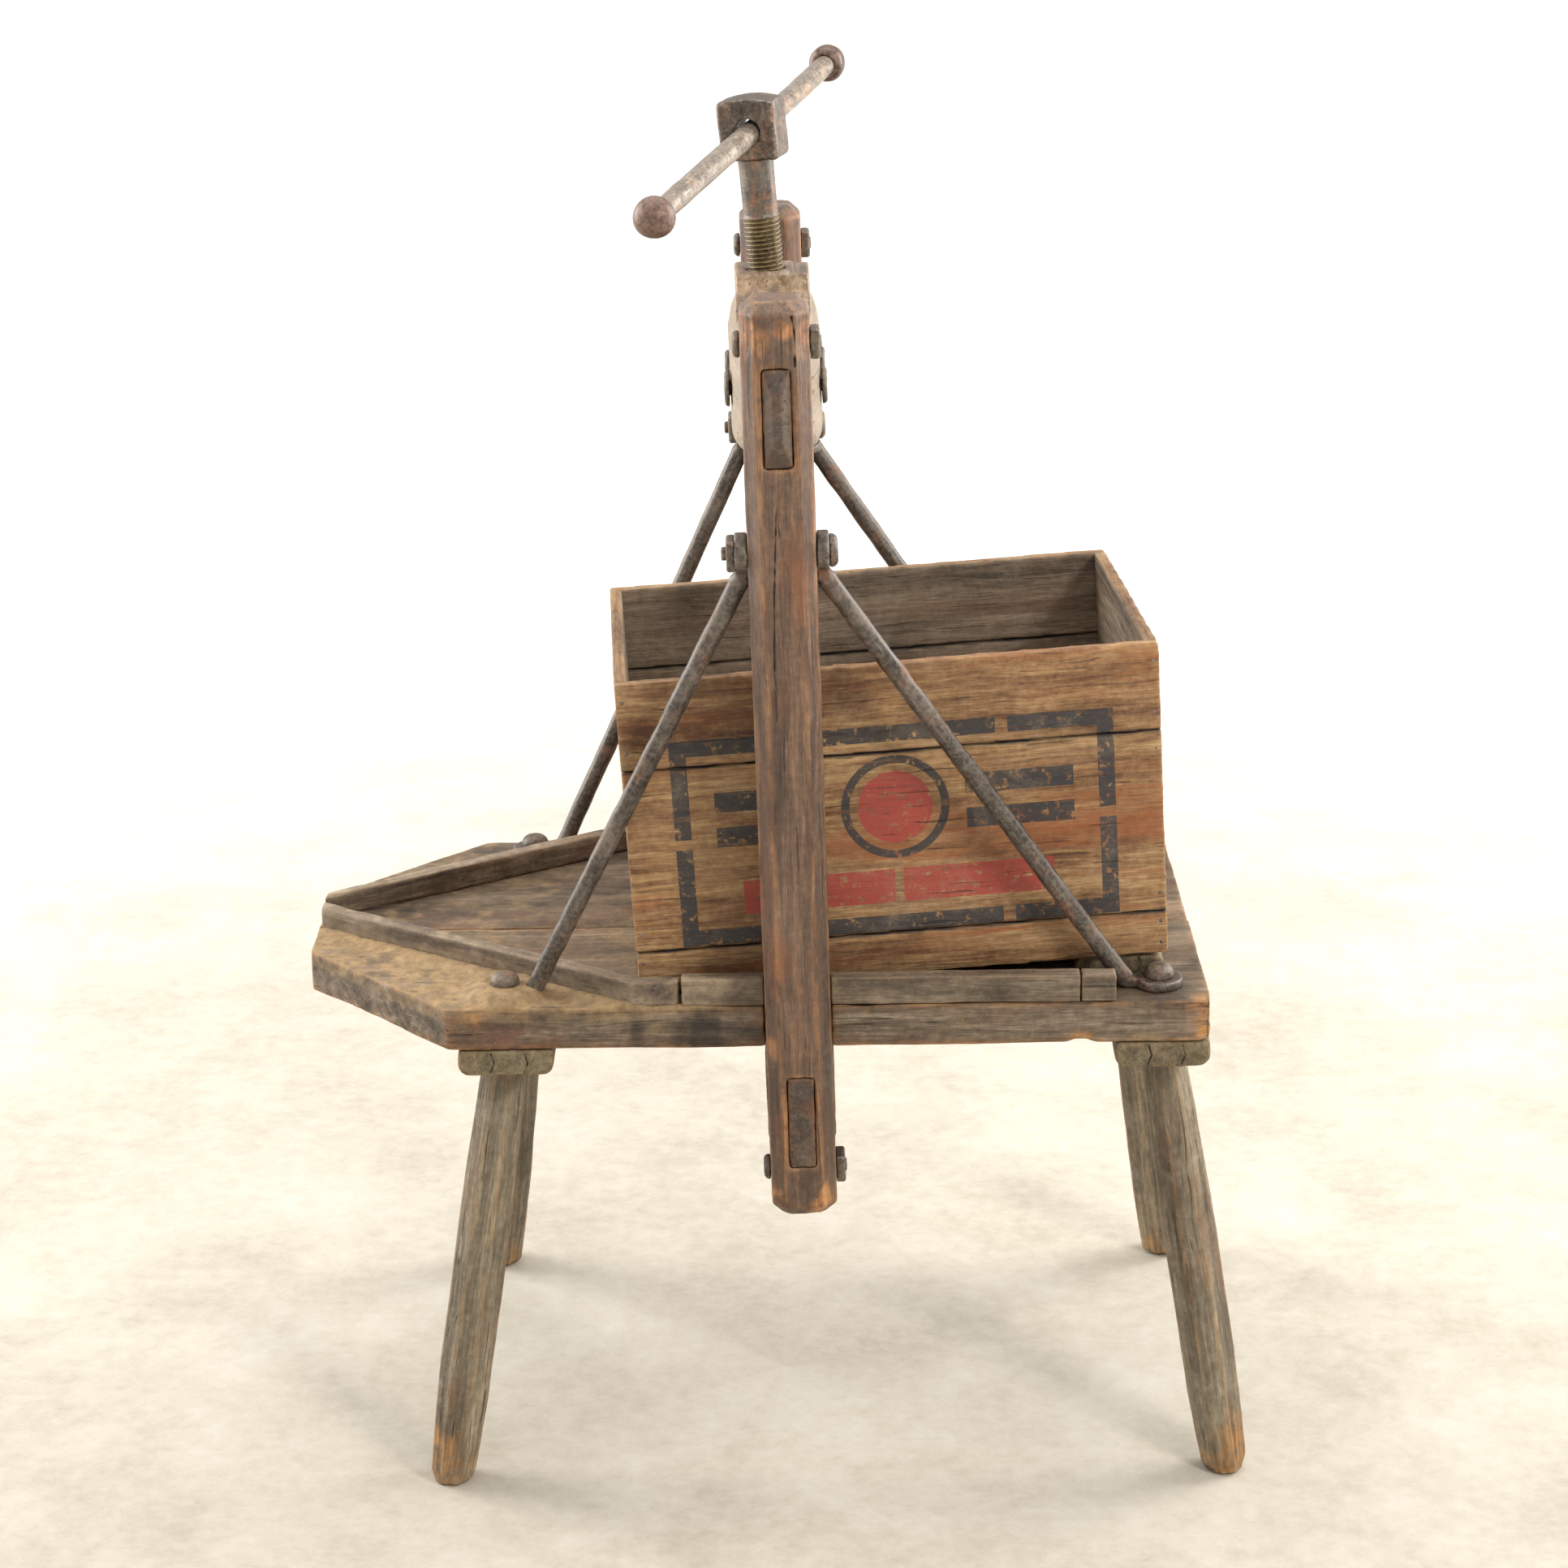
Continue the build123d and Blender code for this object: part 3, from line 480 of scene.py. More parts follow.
def wood(name, dark, mid, light, worn, dust, red, dust_share=0.4, dust_up=0.25, stain_share=0.5,
         wear_gain=1.0, streak=160.0, contrast=1.0, rough=0.62, stencil=None, bump_depth=0.0009,
         red_share=0.4, red_run=0.35, split_share=0.7, specular=0.4):
    """Old wood: grain streaks, splits, stain marks, reddish patches, worn edges, dust, painted light and painted
    seam shade.
    """
    g = Graph(name)
    place = g.read("grain", vector=True)
    wander = g.scaled(g.noise(place, 9.0, 2.0), (0.012, 0.012, 0.0))
    lane = g.added(place, wander)
    broad = g.noise(g.scaled(lane, (1, 1, 0.09)), 34.0, 4.0, 0.6, 0.4)
    fibre = g.noise(g.scaled(lane, (1, 1, 0.05)), streak, 6.0, 0.68, 0.5)
    pores = g.noise(g.scaled(place, (1, 1, 0.05)), 1100.0, 2.0, 0.6)
    mottle = g.noise(place, 120.0, 5.0, 0.7)
    blend = g.math("ADD", g.math("MULTIPLY", broad, 0.4), g.math("MULTIPLY", fibre, 0.4))
    blend = g.math("ADD", blend, g.math("MULTIPLY", mottle, 0.2))
    spread = RAMP_HALF / contrast
    colour = g.ramp(blend, (0.5 - spread, dark), (0.5, mid), (0.5 + spread, light))
    fine = g.spread(pores, 0.36, 0.56, 0.62, 1.0)
    colour = g.mix(g.math("SUBTRACT", 1.0, fine), colour, dark)
    blush = g.noise(g.scaled(place, (1, 1, red_run)), 16.0, 6.0, 0.7, 0.5)
    blush = g.spread(blush, 0.5, 0.66, 0.0, red_share)
    blush = g.math("MULTIPLY", blush, g.spread(fibre, 0.3, 0.6, 0.4, 1.0))
    colour = g.mix(blush, colour, red)
    patch = g.noise(place, 7.0, 5.0, 0.6, 0.4)
    stain = g.spread(patch, 0.5, 0.72, 0.0, stain_share)
    colour = g.mix(stain, colour, g.mix(1.0, colour, STAIN_GREY, "MULTIPLY"))
    # painted light: faces marked for it are lightened towards the light tone, as if lit
    colour = g.mix(g.read("painted_light"), colour, light)
    scuff = g.noise(place, 42.0, 5.0, 0.7)
    edge = g.math("MULTIPLY", g.read("wear"), g.spread(scuff, 0.36, 0.6, 0.1, 1.0))
    edge = g.math("MULTIPLY", edge, wear_gain, clamp=True)
    colour = g.mix(edge, colour, g.ramp(fibre, (0.38, worn[0]), (0.58, worn[1])))
    if stencil is not None:
        colour = stencil(g, colour, fibre)
    splits = g.noise(g.scaled(lane, (1, 1, 0.022)), 310.0, 2.0, 0.5)
    split = g.math("MULTIPLY", g.spread(splits, 0.655, 0.70), split_share)
    colour = g.mix(split, colour, SPLIT_DARK)
    grime = g.noise(place, 13.0, 6.0, 0.7, 0.6)
    lift = g.math("MULTIPLY", g.spread(g.facing_up(), 0.3, 0.9), dust_up)
    amount = g.math("ADD", g.spread(grime, 0.5, 0.72, 0.0, dust_share), lift)
    amount = g.math("ADD", amount, g.math("MULTIPLY", g.read("hollow"), 0.35))
    speck = g.spread(g.noise(place, 330.0, 4.0, 0.75), 0.38, 0.6, 0.35, 1.0)
    amount = g.math("MULTIPLY", amount, speck, clamp=True)
    soil = g.math("MULTIPLY", g.read("soil"), g.spread(mottle, 0.3, 0.6, 0.6, 1.0))
    amount = g.math("MAXIMUM", amount, soil, clamp=True)
    colour = g.mix(amount, colour, g.ramp(g.noise(place, 90.0, 5.0, 0.7), (0.35, dust[0]), (0.65, dust[1])))
    chips = g.spread(g.noise(place, 620.0, 2.0, 0.5), 0.735, 0.76, 0.0, 0.8)
    colour = g.mix(chips, colour, CHIP_PALE)
    # darkens cracks and stain marks, and paints shade along the crate's board seams
    colour = g.mix(g.read("crack_stain_and_shade"), colour, CRACK_STAIN_SHADE_DARK)
    shine = g.spread(fibre, 0.3, 0.7, rough - 0.14, rough + 0.16)
    shine = g.math("ADD", shine, g.math("MULTIPLY", amount, 0.25), clamp=True)
    height = g.math("SUBTRACT", fibre, g.math("MULTIPLY", split, 0.7))
    coarse = g.bump(height, bump_depth, 0.95)
    rubbed = g.math("ADD", g.math("MULTIPLY", scuff, 0.6), g.math("MULTIPLY", mottle, 1.2))
    normal = g.bump(g.math("ADD", pores, rubbed), GRIT_DEPTH, 0.85, coarse)
    return g.finish(colour, shine, normal, 0.0, specular)


def iron(name, dark, mid, light, rust, rust_share=0.5, metal=0.55, rough=0.5, shine_edge="9a9188",
         pitted=0.0006, scratch=0.25, draw=1.0, contrast=1.0):
    """Old forged or turned iron: clouded colour, rust in patches, rubbed edges, pits and fine scratches."""
    g = Graph(name)
    place = g.read("grain", vector=True)
    cloud = g.noise(place, 26.0, 6.0, 0.62, 0.5)
    grit = g.noise(place, 240.0, 4.0, 0.65)
    tiny = g.noise(place, 900.0, 2.0, 0.6)
    drawn = g.noise(g.scaled(place, (1, 1, draw)), 420.0, 4.0, 0.65)
    blend = g.math("ADD", g.math("MULTIPLY", cloud, 0.5), g.math("MULTIPLY", grit, 0.3))
    blend = g.math("ADD", blend, g.math("MULTIPLY", drawn, 0.2))
    spread = RAMP_HALF / contrast
    colour = g.ramp(blend, (0.5 - spread, dark), (0.5, mid), (0.5 + spread, light))
    rusty = g.noise(g.scaled(place, (1, 1, 0.6)), 38.0, 6.0, 0.7, 0.8)
    share = g.spread(rusty, 0.62 - rust_share * 0.25, 0.74 - rust_share * 0.12)
    colour = g.mix(g.math("MULTIPLY", share, 0.8), colour, g.ramp(grit, (0.35, rust[0]), (0.62, rust[1])))
    edge = g.math("MULTIPLY", g.read("wear"), g.spread(grit, 0.4, 0.6, 0.1, 0.7), clamp=True)
    colour = g.mix(edge, colour, shine_edge)
    rub = g.spread(drawn, 0.58, 0.7, 0.0, scratch)
    colour = g.mix(rub, colour, shine_edge)
    sunk = g.math("MULTIPLY", g.read("hollow"), 0.7, clamp=True)
    colour = g.mix(sunk, colour, PIT_DARK)
    metallic = g.math("MULTIPLY", g.math("SUBTRACT", 1.0, share), metal, clamp=True)
    gloss = g.math("ADD", g.math("MULTIPLY", cloud, 0.5), g.math("MULTIPLY", grit, 0.5))
    gloss = g.spread(gloss, 0.35, 0.65, rough - 0.12, rough + 0.16)
    gloss = g.math("ADD", gloss, g.math("MULTIPLY", share, 0.2), clamp=True)
    coarse = g.bump(g.math("ADD", cloud, g.math("MULTIPLY", grit, 0.5)), pitted, 0.9)
    normal = g.bump(g.math("ADD", tiny, g.math("MULTIPLY", drawn, 0.5)), SCRATCH_DEPTH, 0.7, coarse)
    return g.finish(colour, gloss, normal, metallic, 0.5)


# ---- the paint on the crate: a plain border, a round and bars, with no lettering ----
PAINT_DEPTH = 2 * MM
PAINT_MIDDLE, BORDER_HEIGHT, ROUND_HEIGHT, RED_BAR_HEIGHT = 258 * MM, 150 * MM, 172 * MM, 92 * MM
BORDER_HALF, BORDER_WIDTH = (212 * MM, 104 * MM), 16 * MM
BRIDGE_APART, BRIDGE_HALF, BRIDGE_HALF_FLAT = 105 * MM, 6 * MM, 5 * MM
RING_OUT, RING_IN, ROUND_RADIUS = 52 * MM, 44 * MM, 36 * MM
BAR_APART, BAR_HALF, BAR_HEIGHTS = 120 * MM, (52 * MM, 10 * MM), (190 * MM, 155 * MM)
RED_BAR_HALF, RED_GAP_HALF = (150 * MM, 17 * MM), 4 * MM
FAR_ENOUGH = 0.3


def crate_paint(g, colour, fibre):
    """The front's worn stencil, in the crate's own lengthways, depthways and upward distances."""
    x, y, z = g.parts(g.read("place", vector=True))
    worn_off = g.spread(g.noise(g.read("place", vector=True), 95.0, 5.0, 0.7), 0.36, 0.46)
    worn_off = g.math("MULTIPLY", worn_off, g.spread(fibre, 0.30, 0.42))
    front = g.math("LESS_THAN", y, PAINT_DEPTH)

    def slab(centre_x, centre_z, half_x, half_z):
        inside_x = g.math("LESS_THAN", g.math("ABSOLUTE", g.math("SUBTRACT", x, centre_x)), half_x)
        inside_z = g.math("LESS_THAN", g.math("ABSOLUTE", g.math("SUBTRACT", z, centre_z)), half_z)
        return g.math("MULTIPLY", inside_x, inside_z)

    def disc(centre_x, centre_z, radius):
        dx, dz = g.math("SUBTRACT", x, centre_x), g.math("SUBTRACT", z, centre_z)
        away = g.math("SQRT", g.math("ADD", g.math("MULTIPLY", dx, dx), g.math("MULTIPLY", dz, dz)))
        return g.math("LESS_THAN", away, radius)

    def both(a, b):
        return g.math("MULTIPLY", a, b)

    def outside(a, b):
        return g.math("MULTIPLY", a, g.math("SUBTRACT", 1.0, b))

    def join(*parts):
        total = parts[0]
        for part in parts[1:]:
            total = g.math("MAXIMUM", total, part)
        return total

    middle = PAINT_MIDDLE
    half_x, half_z = BORDER_HALF
    border = outside(slab(middle, BORDER_HEIGHT, half_x, half_z),
                     slab(middle, BORDER_HEIGHT, half_x - BORDER_WIDTH, half_z - BORDER_WIDTH))
    bridges = join(slab(middle - BRIDGE_APART, BORDER_HEIGHT, BRIDGE_HALF, FAR_ENOUGH),
                   slab(middle + BRIDGE_APART, BORDER_HEIGHT, BRIDGE_HALF, FAR_ENOUGH),
                   slab(middle, BORDER_HEIGHT, FAR_ENOUGH, BRIDGE_HALF_FLAT))
    border = outside(border, bridges)
    ring = outside(disc(middle, ROUND_HEIGHT, RING_OUT), disc(middle, ROUND_HEIGHT, RING_IN))
    bars = join(*(slab(middle + side * BAR_APART, height, *BAR_HALF)
                  for height in BAR_HEIGHTS for side in (-1, 1)))
    dark = join(border, ring, bars)
    red_bar = outside(slab(middle, RED_BAR_HEIGHT, *RED_BAR_HALF),
                      slab(middle, RED_BAR_HEIGHT, RED_GAP_HALF, FAR_ENOUGH))
    red = join(disc(middle, ROUND_HEIGHT, ROUND_RADIUS), red_bar)
    keep = both(front, worn_off)
    colour = g.mix(g.math("MULTIPLY", both(dark, keep), 0.88), colour, g.mix(0.5, "20262c", "2c3238"))
    return g.mix(g.math("MULTIPLY", both(red, keep), 0.86), colour, "9c3a34")


# ---- materials ----
POST = wood("post_oak", "30241b", "5f4736", "8c6c52", ("8a532c", "c58f5a"), ("6f665b", "8a7d6c"), "7d4a2a",
            dust_share=0.3, dust_up=0.3, stain_share=0.4, wear_gain=1.05, red_share=0.7,
            rough=0.5, specular=0.5)
TENON = wood("tenon_oak", "29211b", "493b30", "6e5c4a", ("7a4526", "a8713f"), ("6f665b", "8a7d6c"), "7a3f22",
             dust_share=0.2, dust_up=0.2, stain_share=0.6, wear_gain=0.5, red_share=0.5,
             rough=0.5, specular=0.5)
BEAM = wood("beam_oak", "382d24", "665341", "b09c82", ("9a7248", "c9ab84"), ("8a8072", "a89a86"), "7a4c30",
            dust_share=0.4, dust_up=0.15, stain_share=0.35, wear_gain=0.6, red_share=0.35,
            rough=0.5, specular=0.5)
BED = wood("bed_planks", "2c241c", "6d5d4b", "a3917b", ("8f5c31", "c08c55"), ("7d6649", "a38862"), "6b3a2a",
           dust_share=0.7, dust_up=0.35, stain_share=0.75, streak=130.0, red_share=0.6)
RAIL = wood("rail_wood", "393027", "716250", "9c8b75", ("7d5a3c", "a88a68"), ("93806a", "b5a184"), "6b4030",
            dust_share=0.45, dust_up=0.3, stain_share=0.8, wear_gain=0.6, red_share=0.45)
BATTEN = wood("batten_wood", "37301f", "63573f", "8c7c60", ("85683f", "b08e60"), ("8f8468", "b3a484"),
              "70492e", dust_share=0.6, dust_up=0.2, stain_share=0.6, wear_gain=0.6, red_share=0.3)
LEG = wood("leg_wood", "463b2d", "7a6e5a", "a99a80", ("92602f", "bd8d55"), ("97907d", "b6ae98"), "7a4b32",
           dust_share=0.5, dust_up=0.0, wear_gain=0.75, bump_depth=0.0014, red_share=0.5)
CRATE = wood("crate_pine", "5c3a22", "94704a", "bb9a6d", ("a1723f", "cfa877"), ("97866e", "b0a084"),
             "8c4c26", dust_share=0.35, dust_up=0.0, stain_share=0.45, wear_gain=0.7, streak=230.0,
             contrast=1.2, stencil=crate_paint, bump_depth=0.0006, red_share=0.85, red_run=0.10,
             split_share=0.6)
CRATE_PLAIN = wood("crate_pine_plain", "5a3c26", "8c6c4a", "b39468", ("9a6f42", "c9a275"),
                   ("8f7f68", "aa9a80"), "84492a", dust_share=0.45, dust_up=0.0, wear_gain=0.7,
                   streak=230.0, contrast=1.2, bump_depth=0.0006, red_share=0.6, red_run=0.10,
                   split_share=0.6)
CRATE_DULL = wood("crate_inside", "4f4336", "7f6d5a", "a4917a", ("94714a", "bd9a6c"), ("8a7e6e", "a39883"),
                  "6e4a32", dust_up=0.1, stain_share=0.4, wear_gain=0.7, streak=230.0,
                  bump_depth=0.0006, red_share=0.45, red_run=0.12)

BRACE = iron("brace_iron", "2b241e", "50463c", "72665a", ("5e3c28", "87583a"), rust_share=0.4,
             metal=0.4, rough=0.46, pitted=0.0004, draw=0.06)
BOLT = iron("bolt_iron", "30281f", "564a3c", "7a6c5a", ("5e4028", "80583a"), rust_share=0.45,
            metal=0.35, pitted=0.0004)
NECK = iron("screw_iron", "37322c", "5b534a", "7d7469", ("7d4c2c", "a56f42"), rust_share=0.6,
            metal=0.5, rough=0.38, scratch=0.4, contrast=0.7)
THREAD = iron("thread_iron", "3b3020", "665538", "83704c", ("644625", "835f38"), rust_share=0.35,
              metal=0.45, rough=0.34, shine_edge="a8946c")
HEAD = iron("head_iron", "2e2621", "54483e", "7d6e60", ("6b4328", "936240"), rust_share=0.42,
            metal=0.45, rough=0.4, shine_edge="b0a294", scratch=0.4)
BAR = iron("bar_iron", "5c4f43", "86786a", "a99b8b", ("7d5738", "a67a50"), rust_share=0.45,
           rough=0.34, shine_edge="d6ccbe", scratch=0.5, pitted=0.0002, draw=0.06, contrast=0.6)
BALL = iron("ball_iron", "33271f", "5a4439", "7b6254", ("5c3c2a", "7a533c"), metal=0.4,
            rough=0.4, shine_edge="a89284", scratch=0.2)
NUT = iron("nut_iron", "2c2620", "4a4136", "665b4a", ("5a3f26", "78573a"), rust_share=0.4,
           metal=0.4, rough=0.55)
NAIL = iron("nail_steel", "35302c", "5a534d", "7a726a", ("5a3a26", "805838"), metal=0.6)

# ---- wooden pieces ----
def box_of(node):
    low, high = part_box(node)
    return np.array(low), np.array(high)


def across(node, x=0.5, y=0.5, z=0.5):
    """A point in a node's box, from 0 to 1 along each side."""
    low, high = box_of(node)
    return tuple(low + (high - low) * (x, y, z))


def along_y(node):
    return Grain((1, 0, 0), (0, 0, 1), (0, 1, 0), across(node))


def along_x(node):
    return Grain((0, 1, 0), (0, 0, 1), (1, 0, 0), across(node))


PLAIN = Grain((1, 0, 0), (0, 1, 0), (0, 0, 1), (0, 0, 0))

# the posts: rubbed top corners, a split down from the top, and rubbed lower ends
TOP_RUBS = ((0.08, 0.965, 26 * MM), (0.93, 0.962, 30 * MM), (0.5, 0.972, 14 * MM))
LOW_RUBS = ((0.12, 0.02), (0.85, 0.015), (0.1, 0.2))
POST_SPLIT = ((0.61, 0.985), (0.645, 0.965), (0.64, 0.935))
POST_SHRINK = ((0.40, 0.79), (0.36, 0.70), (0.35, 0.62))
for node, front, split_from in (("near_post", 0, 0.75), ("far_post", 1, 0.25)):
    top_corners = [(across(node, x, front, z), radius, 1.2 * MM) for x, z, radius in TOP_RUBS]
    low_corners = [(across(node, x, front, z), 24 * MM, 1.0 * MM) for x, z in LOW_RUBS]
    split = [across(node, 0.62, split_from, 0.998)] + [across(node, x, front, z) for x, z in POST_SPLIT]
    shrink = [across(node, x, front, z) for x, z in POST_SHRINK]
    weathered(node, 1.9 * MM, POST, boxy_grain(node), round_least=1, round_most=5, dents=0.5, grooves=0.35,
              worn_at=top_corners + low_corners,
              cracks=[(split, 1.5 * MM, 3.0 * MM), (shrink, 0.9 * MM, 1.2 * MM)])


def painted_flank_light(co, normals):
    """Painted light: the beam's open flanks are made paler as if lit from the sides, and its underside and seat
    are not.
    """
    return np.clip(np.abs(normals[:, 0]) * 1.3 - 0.45, 0, 0.45)


# each chip's place from the seat's middle, its radius and its depth, in mm
SEAT_CHIPS = ((-30, -40, 22, 3.0), (26, -44, 20, 2.5), (0, -48, 16, 3.5), (32, 40, 20, 2))
SEAT_CHIP_DROP = 9 * MM
seat_x, seat_y = across("top_beam")[:2]
seat_z = box_of("top_beam")[1][2] - SEAT_CHIP_DROP
seat_chips = [((seat_x + x * MM, seat_y + y * MM, seat_z), radius * MM, chip * MM)
              for x, y, radius, chip in SEAT_CHIPS]
# the top beam gets painted light on its flanks, as if lit from the sides
for node, chips, voxel in (("top_beam", seat_chips, 1.8 * MM), ("lower_beam", (), 2.2 * MM)):
    piece = weathered(node, voxel, BEAM, along_y(node), round_least=1, round_most=5, dents=0.7,
                      grooves=0.35, worn_at=chips, painted_light=painted_flank_light if node == "top_beam" else None)
    piece.data.materials.append(TENON)
    tenon_from, tenon_to = across("near_post", y=0.8)[1], across("far_post", y=0.2)[1]
    for polygon in piece.data.polygons:
        if not tenon_from < polygon.center[1] < tenon_to:
            polygon.material_index = 1

# ---- the bed, with dirt packed along the near spout rail and round the near post ----
bed_top = box_of("bed_near_plank")[1][2]
rail_low, rail_high = box_of("near_spout_rail")
RAIL_TIP_DROP, RAIL_BEND_RUN = 21.5 * MM, 327 * MM
rail_bend = (rail_low[0] + RAIL_BEND_RUN, rail_low[1], bed_top)
post_side = across("near_post", 0.0, 0.5, 0.227)
side_rail_top = box_of("near_side_rail")[1][2]
# each heap's line, its reach to either side and its height
HEAPS = [
    ([(rail_low[0], rail_high[1] - RAIL_TIP_DROP, bed_top), rail_bend], 26 * MM, 6.5 * MM),
    ([rail_bend, across("near_spout_rail", 1.0, 0.0, 0.0)], 12 * MM, 2.0 * MM),
    ([across("near_spout_rail", 0.97, 0.03, 0.0), post_side], 16 * MM, 3.0 * MM),
    ([across("near_side_rail", 0.0, 0.3, 0.7), (post_side[0], post_side[1], side_rail_top)],
     26 * MM, 1.0 * MM),
]
DIRT_DETAIL, RAGGED, SPILL_DROP, SPOUT_RUN = 70, 6 * MM, 14 * MM, 180 * MM
FOOT_HEAD_RADIUS, FOOT_HEAP, FOOT_HEAP_EDGE = 14.5 * MM, 10.8 * MM, (25 * MM, 48 * MM)
foot_low = box_of("foot_bolts")[0]
near_left_foot = (foot_low[0] + FOOT_HEAD_RADIUS, foot_low[1] + FOOT_HEAD_RADIUS, bed_top)


def packed_dirt(co, normals):
    """Heaps of packed dirt on the bed: how far each point rises, and how much soil covers it."""
    rough = fbm(co * DIRT_DETAIL, 3, 11)
    heap, soil = np.zeros(len(co)), np.zeros(len(co))
    for path, reach, tall in HEAPS:
        near = 1 - ease(to_path(co, path) + rough * reach * 0.35, 0, reach)
        heap = np.maximum(heap, tall * near * (0.75 + 0.35 * rough))
        soil = np.maximum(soil, near)
    run = np.array(rail_bend) - np.array(HEAPS[0][0][0])
    outside = ((co - np.array(rail_bend)) @ np.array([run[1], -run[0], 0])) / np.hypot(run[0], run[1])
    beyond = ease(outside + rough * RAGGED, -4 * MM, 10 * MM) * (co[:, 0] < rail_bend[0] + 60 * MM)
    soil = np.maximum(soil, beyond * ease(rough, -0.7, 0.1) * 0.85)
    round_foot = np.linalg.norm((co - near_left_foot)[:, :2], axis=1) + rough * RAGGED
    cover = (1 - ease(round_foot, *FOOT_HEAP_EDGE)) * (co[:, 2] < bed_top + 4 * MM)
    heap = np.maximum(heap, FOOT_HEAP * cover * (1 + 0.06 * rough))
    soil = np.maximum(soil, cover)
    upward = ease(normals[:, 2], 0.5, 0.9)
    spill = ease(normals[:, 2], -0.4, 0.5) * (co[:, 2] > bed_top - SPILL_DROP)
    spout = (1 - ease(co[:, 0], rail_low[0] + SPOUT_RUN, rail_bend[0])) * ease(rough, -0.3, 0.5) * 0.8
    return heap * upward, np.maximum(soil * np.maximum(upward, spill * 1.4), spout * upward)


STAIN_FROM_POST, RUN_SHADE, TRAY_SHADE = 60 * MM, 0.62, 0.55


def bed_stains(co, normals):
    """Dark runs down the bed's near edges, strongest beside the post, and a dark tray inside the rails."""
    runs = ease(fbm(co * (30, 30, 8), 3, 29), -0.05, 0.4) * ease(-normals[:, 1], 0.4, 0.8)
    from_stain = np.abs(co[:, 0] - post_side[0] + STAIN_FROM_POST)
    beside = 0.2 + 0.8 * (1 - ease(from_stain, 50 * MM, 130 * MM))
    beside = np.maximum(beside, 1 - ease(co[:, 0] - rail_low[0], 40 * MM, 150 * MM))
    inside = (co[:, 1] > rail_high[1] - RAIL_TIP_DROP) | (co[:, 0] > rail_bend[0])
    tray = ease(fbm(co * (16, 30, 30), 3, 31), -0.5, 0.4) * ease(normals[:, 2], 0.5, 0.9) * inside
    return np.maximum(runs * beside * RUN_SHADE, tray * TRAY_SHADE)


# places along and up the near edge, each with a radius and a depth in mm
EDGE_CHIPS = ((0.998, 0.8, 30, 3.0), (0.999, 0.2, 16, 2.0), (0.86, 0.0, 18, 3.0), (0.2, 0.95, 18, 1.5),
              (0.62, 1.0, 14, 1.5))
edge_chips = [(across("bed_near_plank", x, 0.0, z), radius * MM, chip * MM)
              for x, z, radius, chip in EDGE_CHIPS]
for node, chips in (("bed_near_plank", edge_chips), ("bed_far_plank", ())):
    weathered(node, 2.7 * MM, BED, along_x(node), round_least=1, round_most=8, dents=0.9, grooves=0.4,
              worn_at=chips, dirt=packed_dirt, stains_and_seam_shade=bed_stains)


CHECK_RUN = ((0, 0.9), (0.03, 0.5), (-0.01, 0.15))


def check_path(node, share):
    """A short shrinkage check running in from the near end of a batten."""
    return [across(node, share + aside, 0.0, height) for aside, height in CHECK_RUN]


for node in ("left_batten", "right_batten", "crate_cleat"):
    weathered(node, 2.2 * MM, BATTEN, boxy_grain(node), round_least=2, round_most=8, dents=0.8,
              cracks=[(check_path(node, 0.35), 0.9 * MM, 1.5 * MM),
                      (check_path(node, 0.7), 0.8 * MM, 1.2 * MM)])
for node in ("near_spout_rail", "far_spout_rail"):
    weathered(node, 1.9 * MM, RAIL, long_grain(node), round_least=3, round_most=16, dents=1.3, dent_size=40,
              dirt=packed_dirt)
for node in ("near_side_rail", "far_side_rail", "near_rail_block", "far_rail_block"):
    weathered(node, 2.0 * MM, RAIL, along_x(node), round_least=1, round_most=7, dents=0.7, dirt=packed_dirt)


def foot_worn(node):
    """Rubbed patches round a leg's foot and one on its outer edge."""
    low, high = box_of(node)
    middle = (low + high) / 2
    foot_x = high[0] if middle[0] > 0 else low[0]
    foot_y = high[1] if middle[1] > 0 else low[1]
    inset = 22 * MM
    chip = 0.8 * MM
    foot = (foot_x - math.copysign(inset, middle[0]), foot_y - math.copysign(inset, middle[1]), 0.0)
    return [(foot, 50 * MM, chip), ((foot_x, foot_y, 30 * MM), 55 * MM, chip)]


for node in ("near_left_leg", "near_right_leg", "far_left_leg", "far_right_leg"):
    weathered(node, 2.1 * MM, LEG, long_grain(node), round_least=1, round_most=7, dents=1.1, dent_size=24,
              grooves=0.6, worn_at=foot_worn(node))

# ---- iron pieces ----
for node in ("near_left_brace", "near_right_brace", "far_left_brace", "far_right_brace"):
    weathered(node, 1.6 * MM, BRACE, long_grain(node), round_least=1, round_most=4, dents=0.7, dent_size=50,
              grooves=0.0, bias=0.0, pits=0.3)
for node in ("cheek_bolts", "cheek_nuts", "brace_bolts", "brace_nuts", "beam_bolts", "beam_bolt_caps",
             "foot_bolts", "foot_nuts"):
    weathered(node, 1.2 * MM, BOLT, PLAIN, round_least=1, round_most=3, dents=0.5, dent_size=80,
              grooves=0.0, bias=0.0)
weathered("screw_nut", 1.6 * MM, NUT, PLAIN, round_least=1, round_most=3, dents=0.3, grooves=0.0)
weathered("press_shoe", 1.5 * MM, NUT, PLAIN, round_least=1, round_most=3, dents=0.3, grooves=0.0)
weathered("shoe_keeper_pin", 0.8 * MM, BOLT, long_grain("shoe_keeper_pin"), dents=0.1, grooves=0.0)
weathered("screw_head", 1.3 * MM, HEAD, PLAIN, round_least=1, round_most=5, dents=0.9, dent_size=50,
          grooves=0.0, bias=0.1)

# ---- the screw: a helical thread below a plain neck ----
screw_joint = JOINTS["screw_turn"]
screw_w = Vector(screw_joint["axis"]).normalized()
screw_u = Vector((0, 1, 0)).cross(screw_w).normalized()
screw_v = screw_w.cross(screw_u)
screw_at = Vector(screw_joint["pos_m"])


def on_screw(h, radius, angle):
    return screw_at + screw_w * h + (screw_u * math.cos(angle) + screw_v * math.sin(angle)) * radius


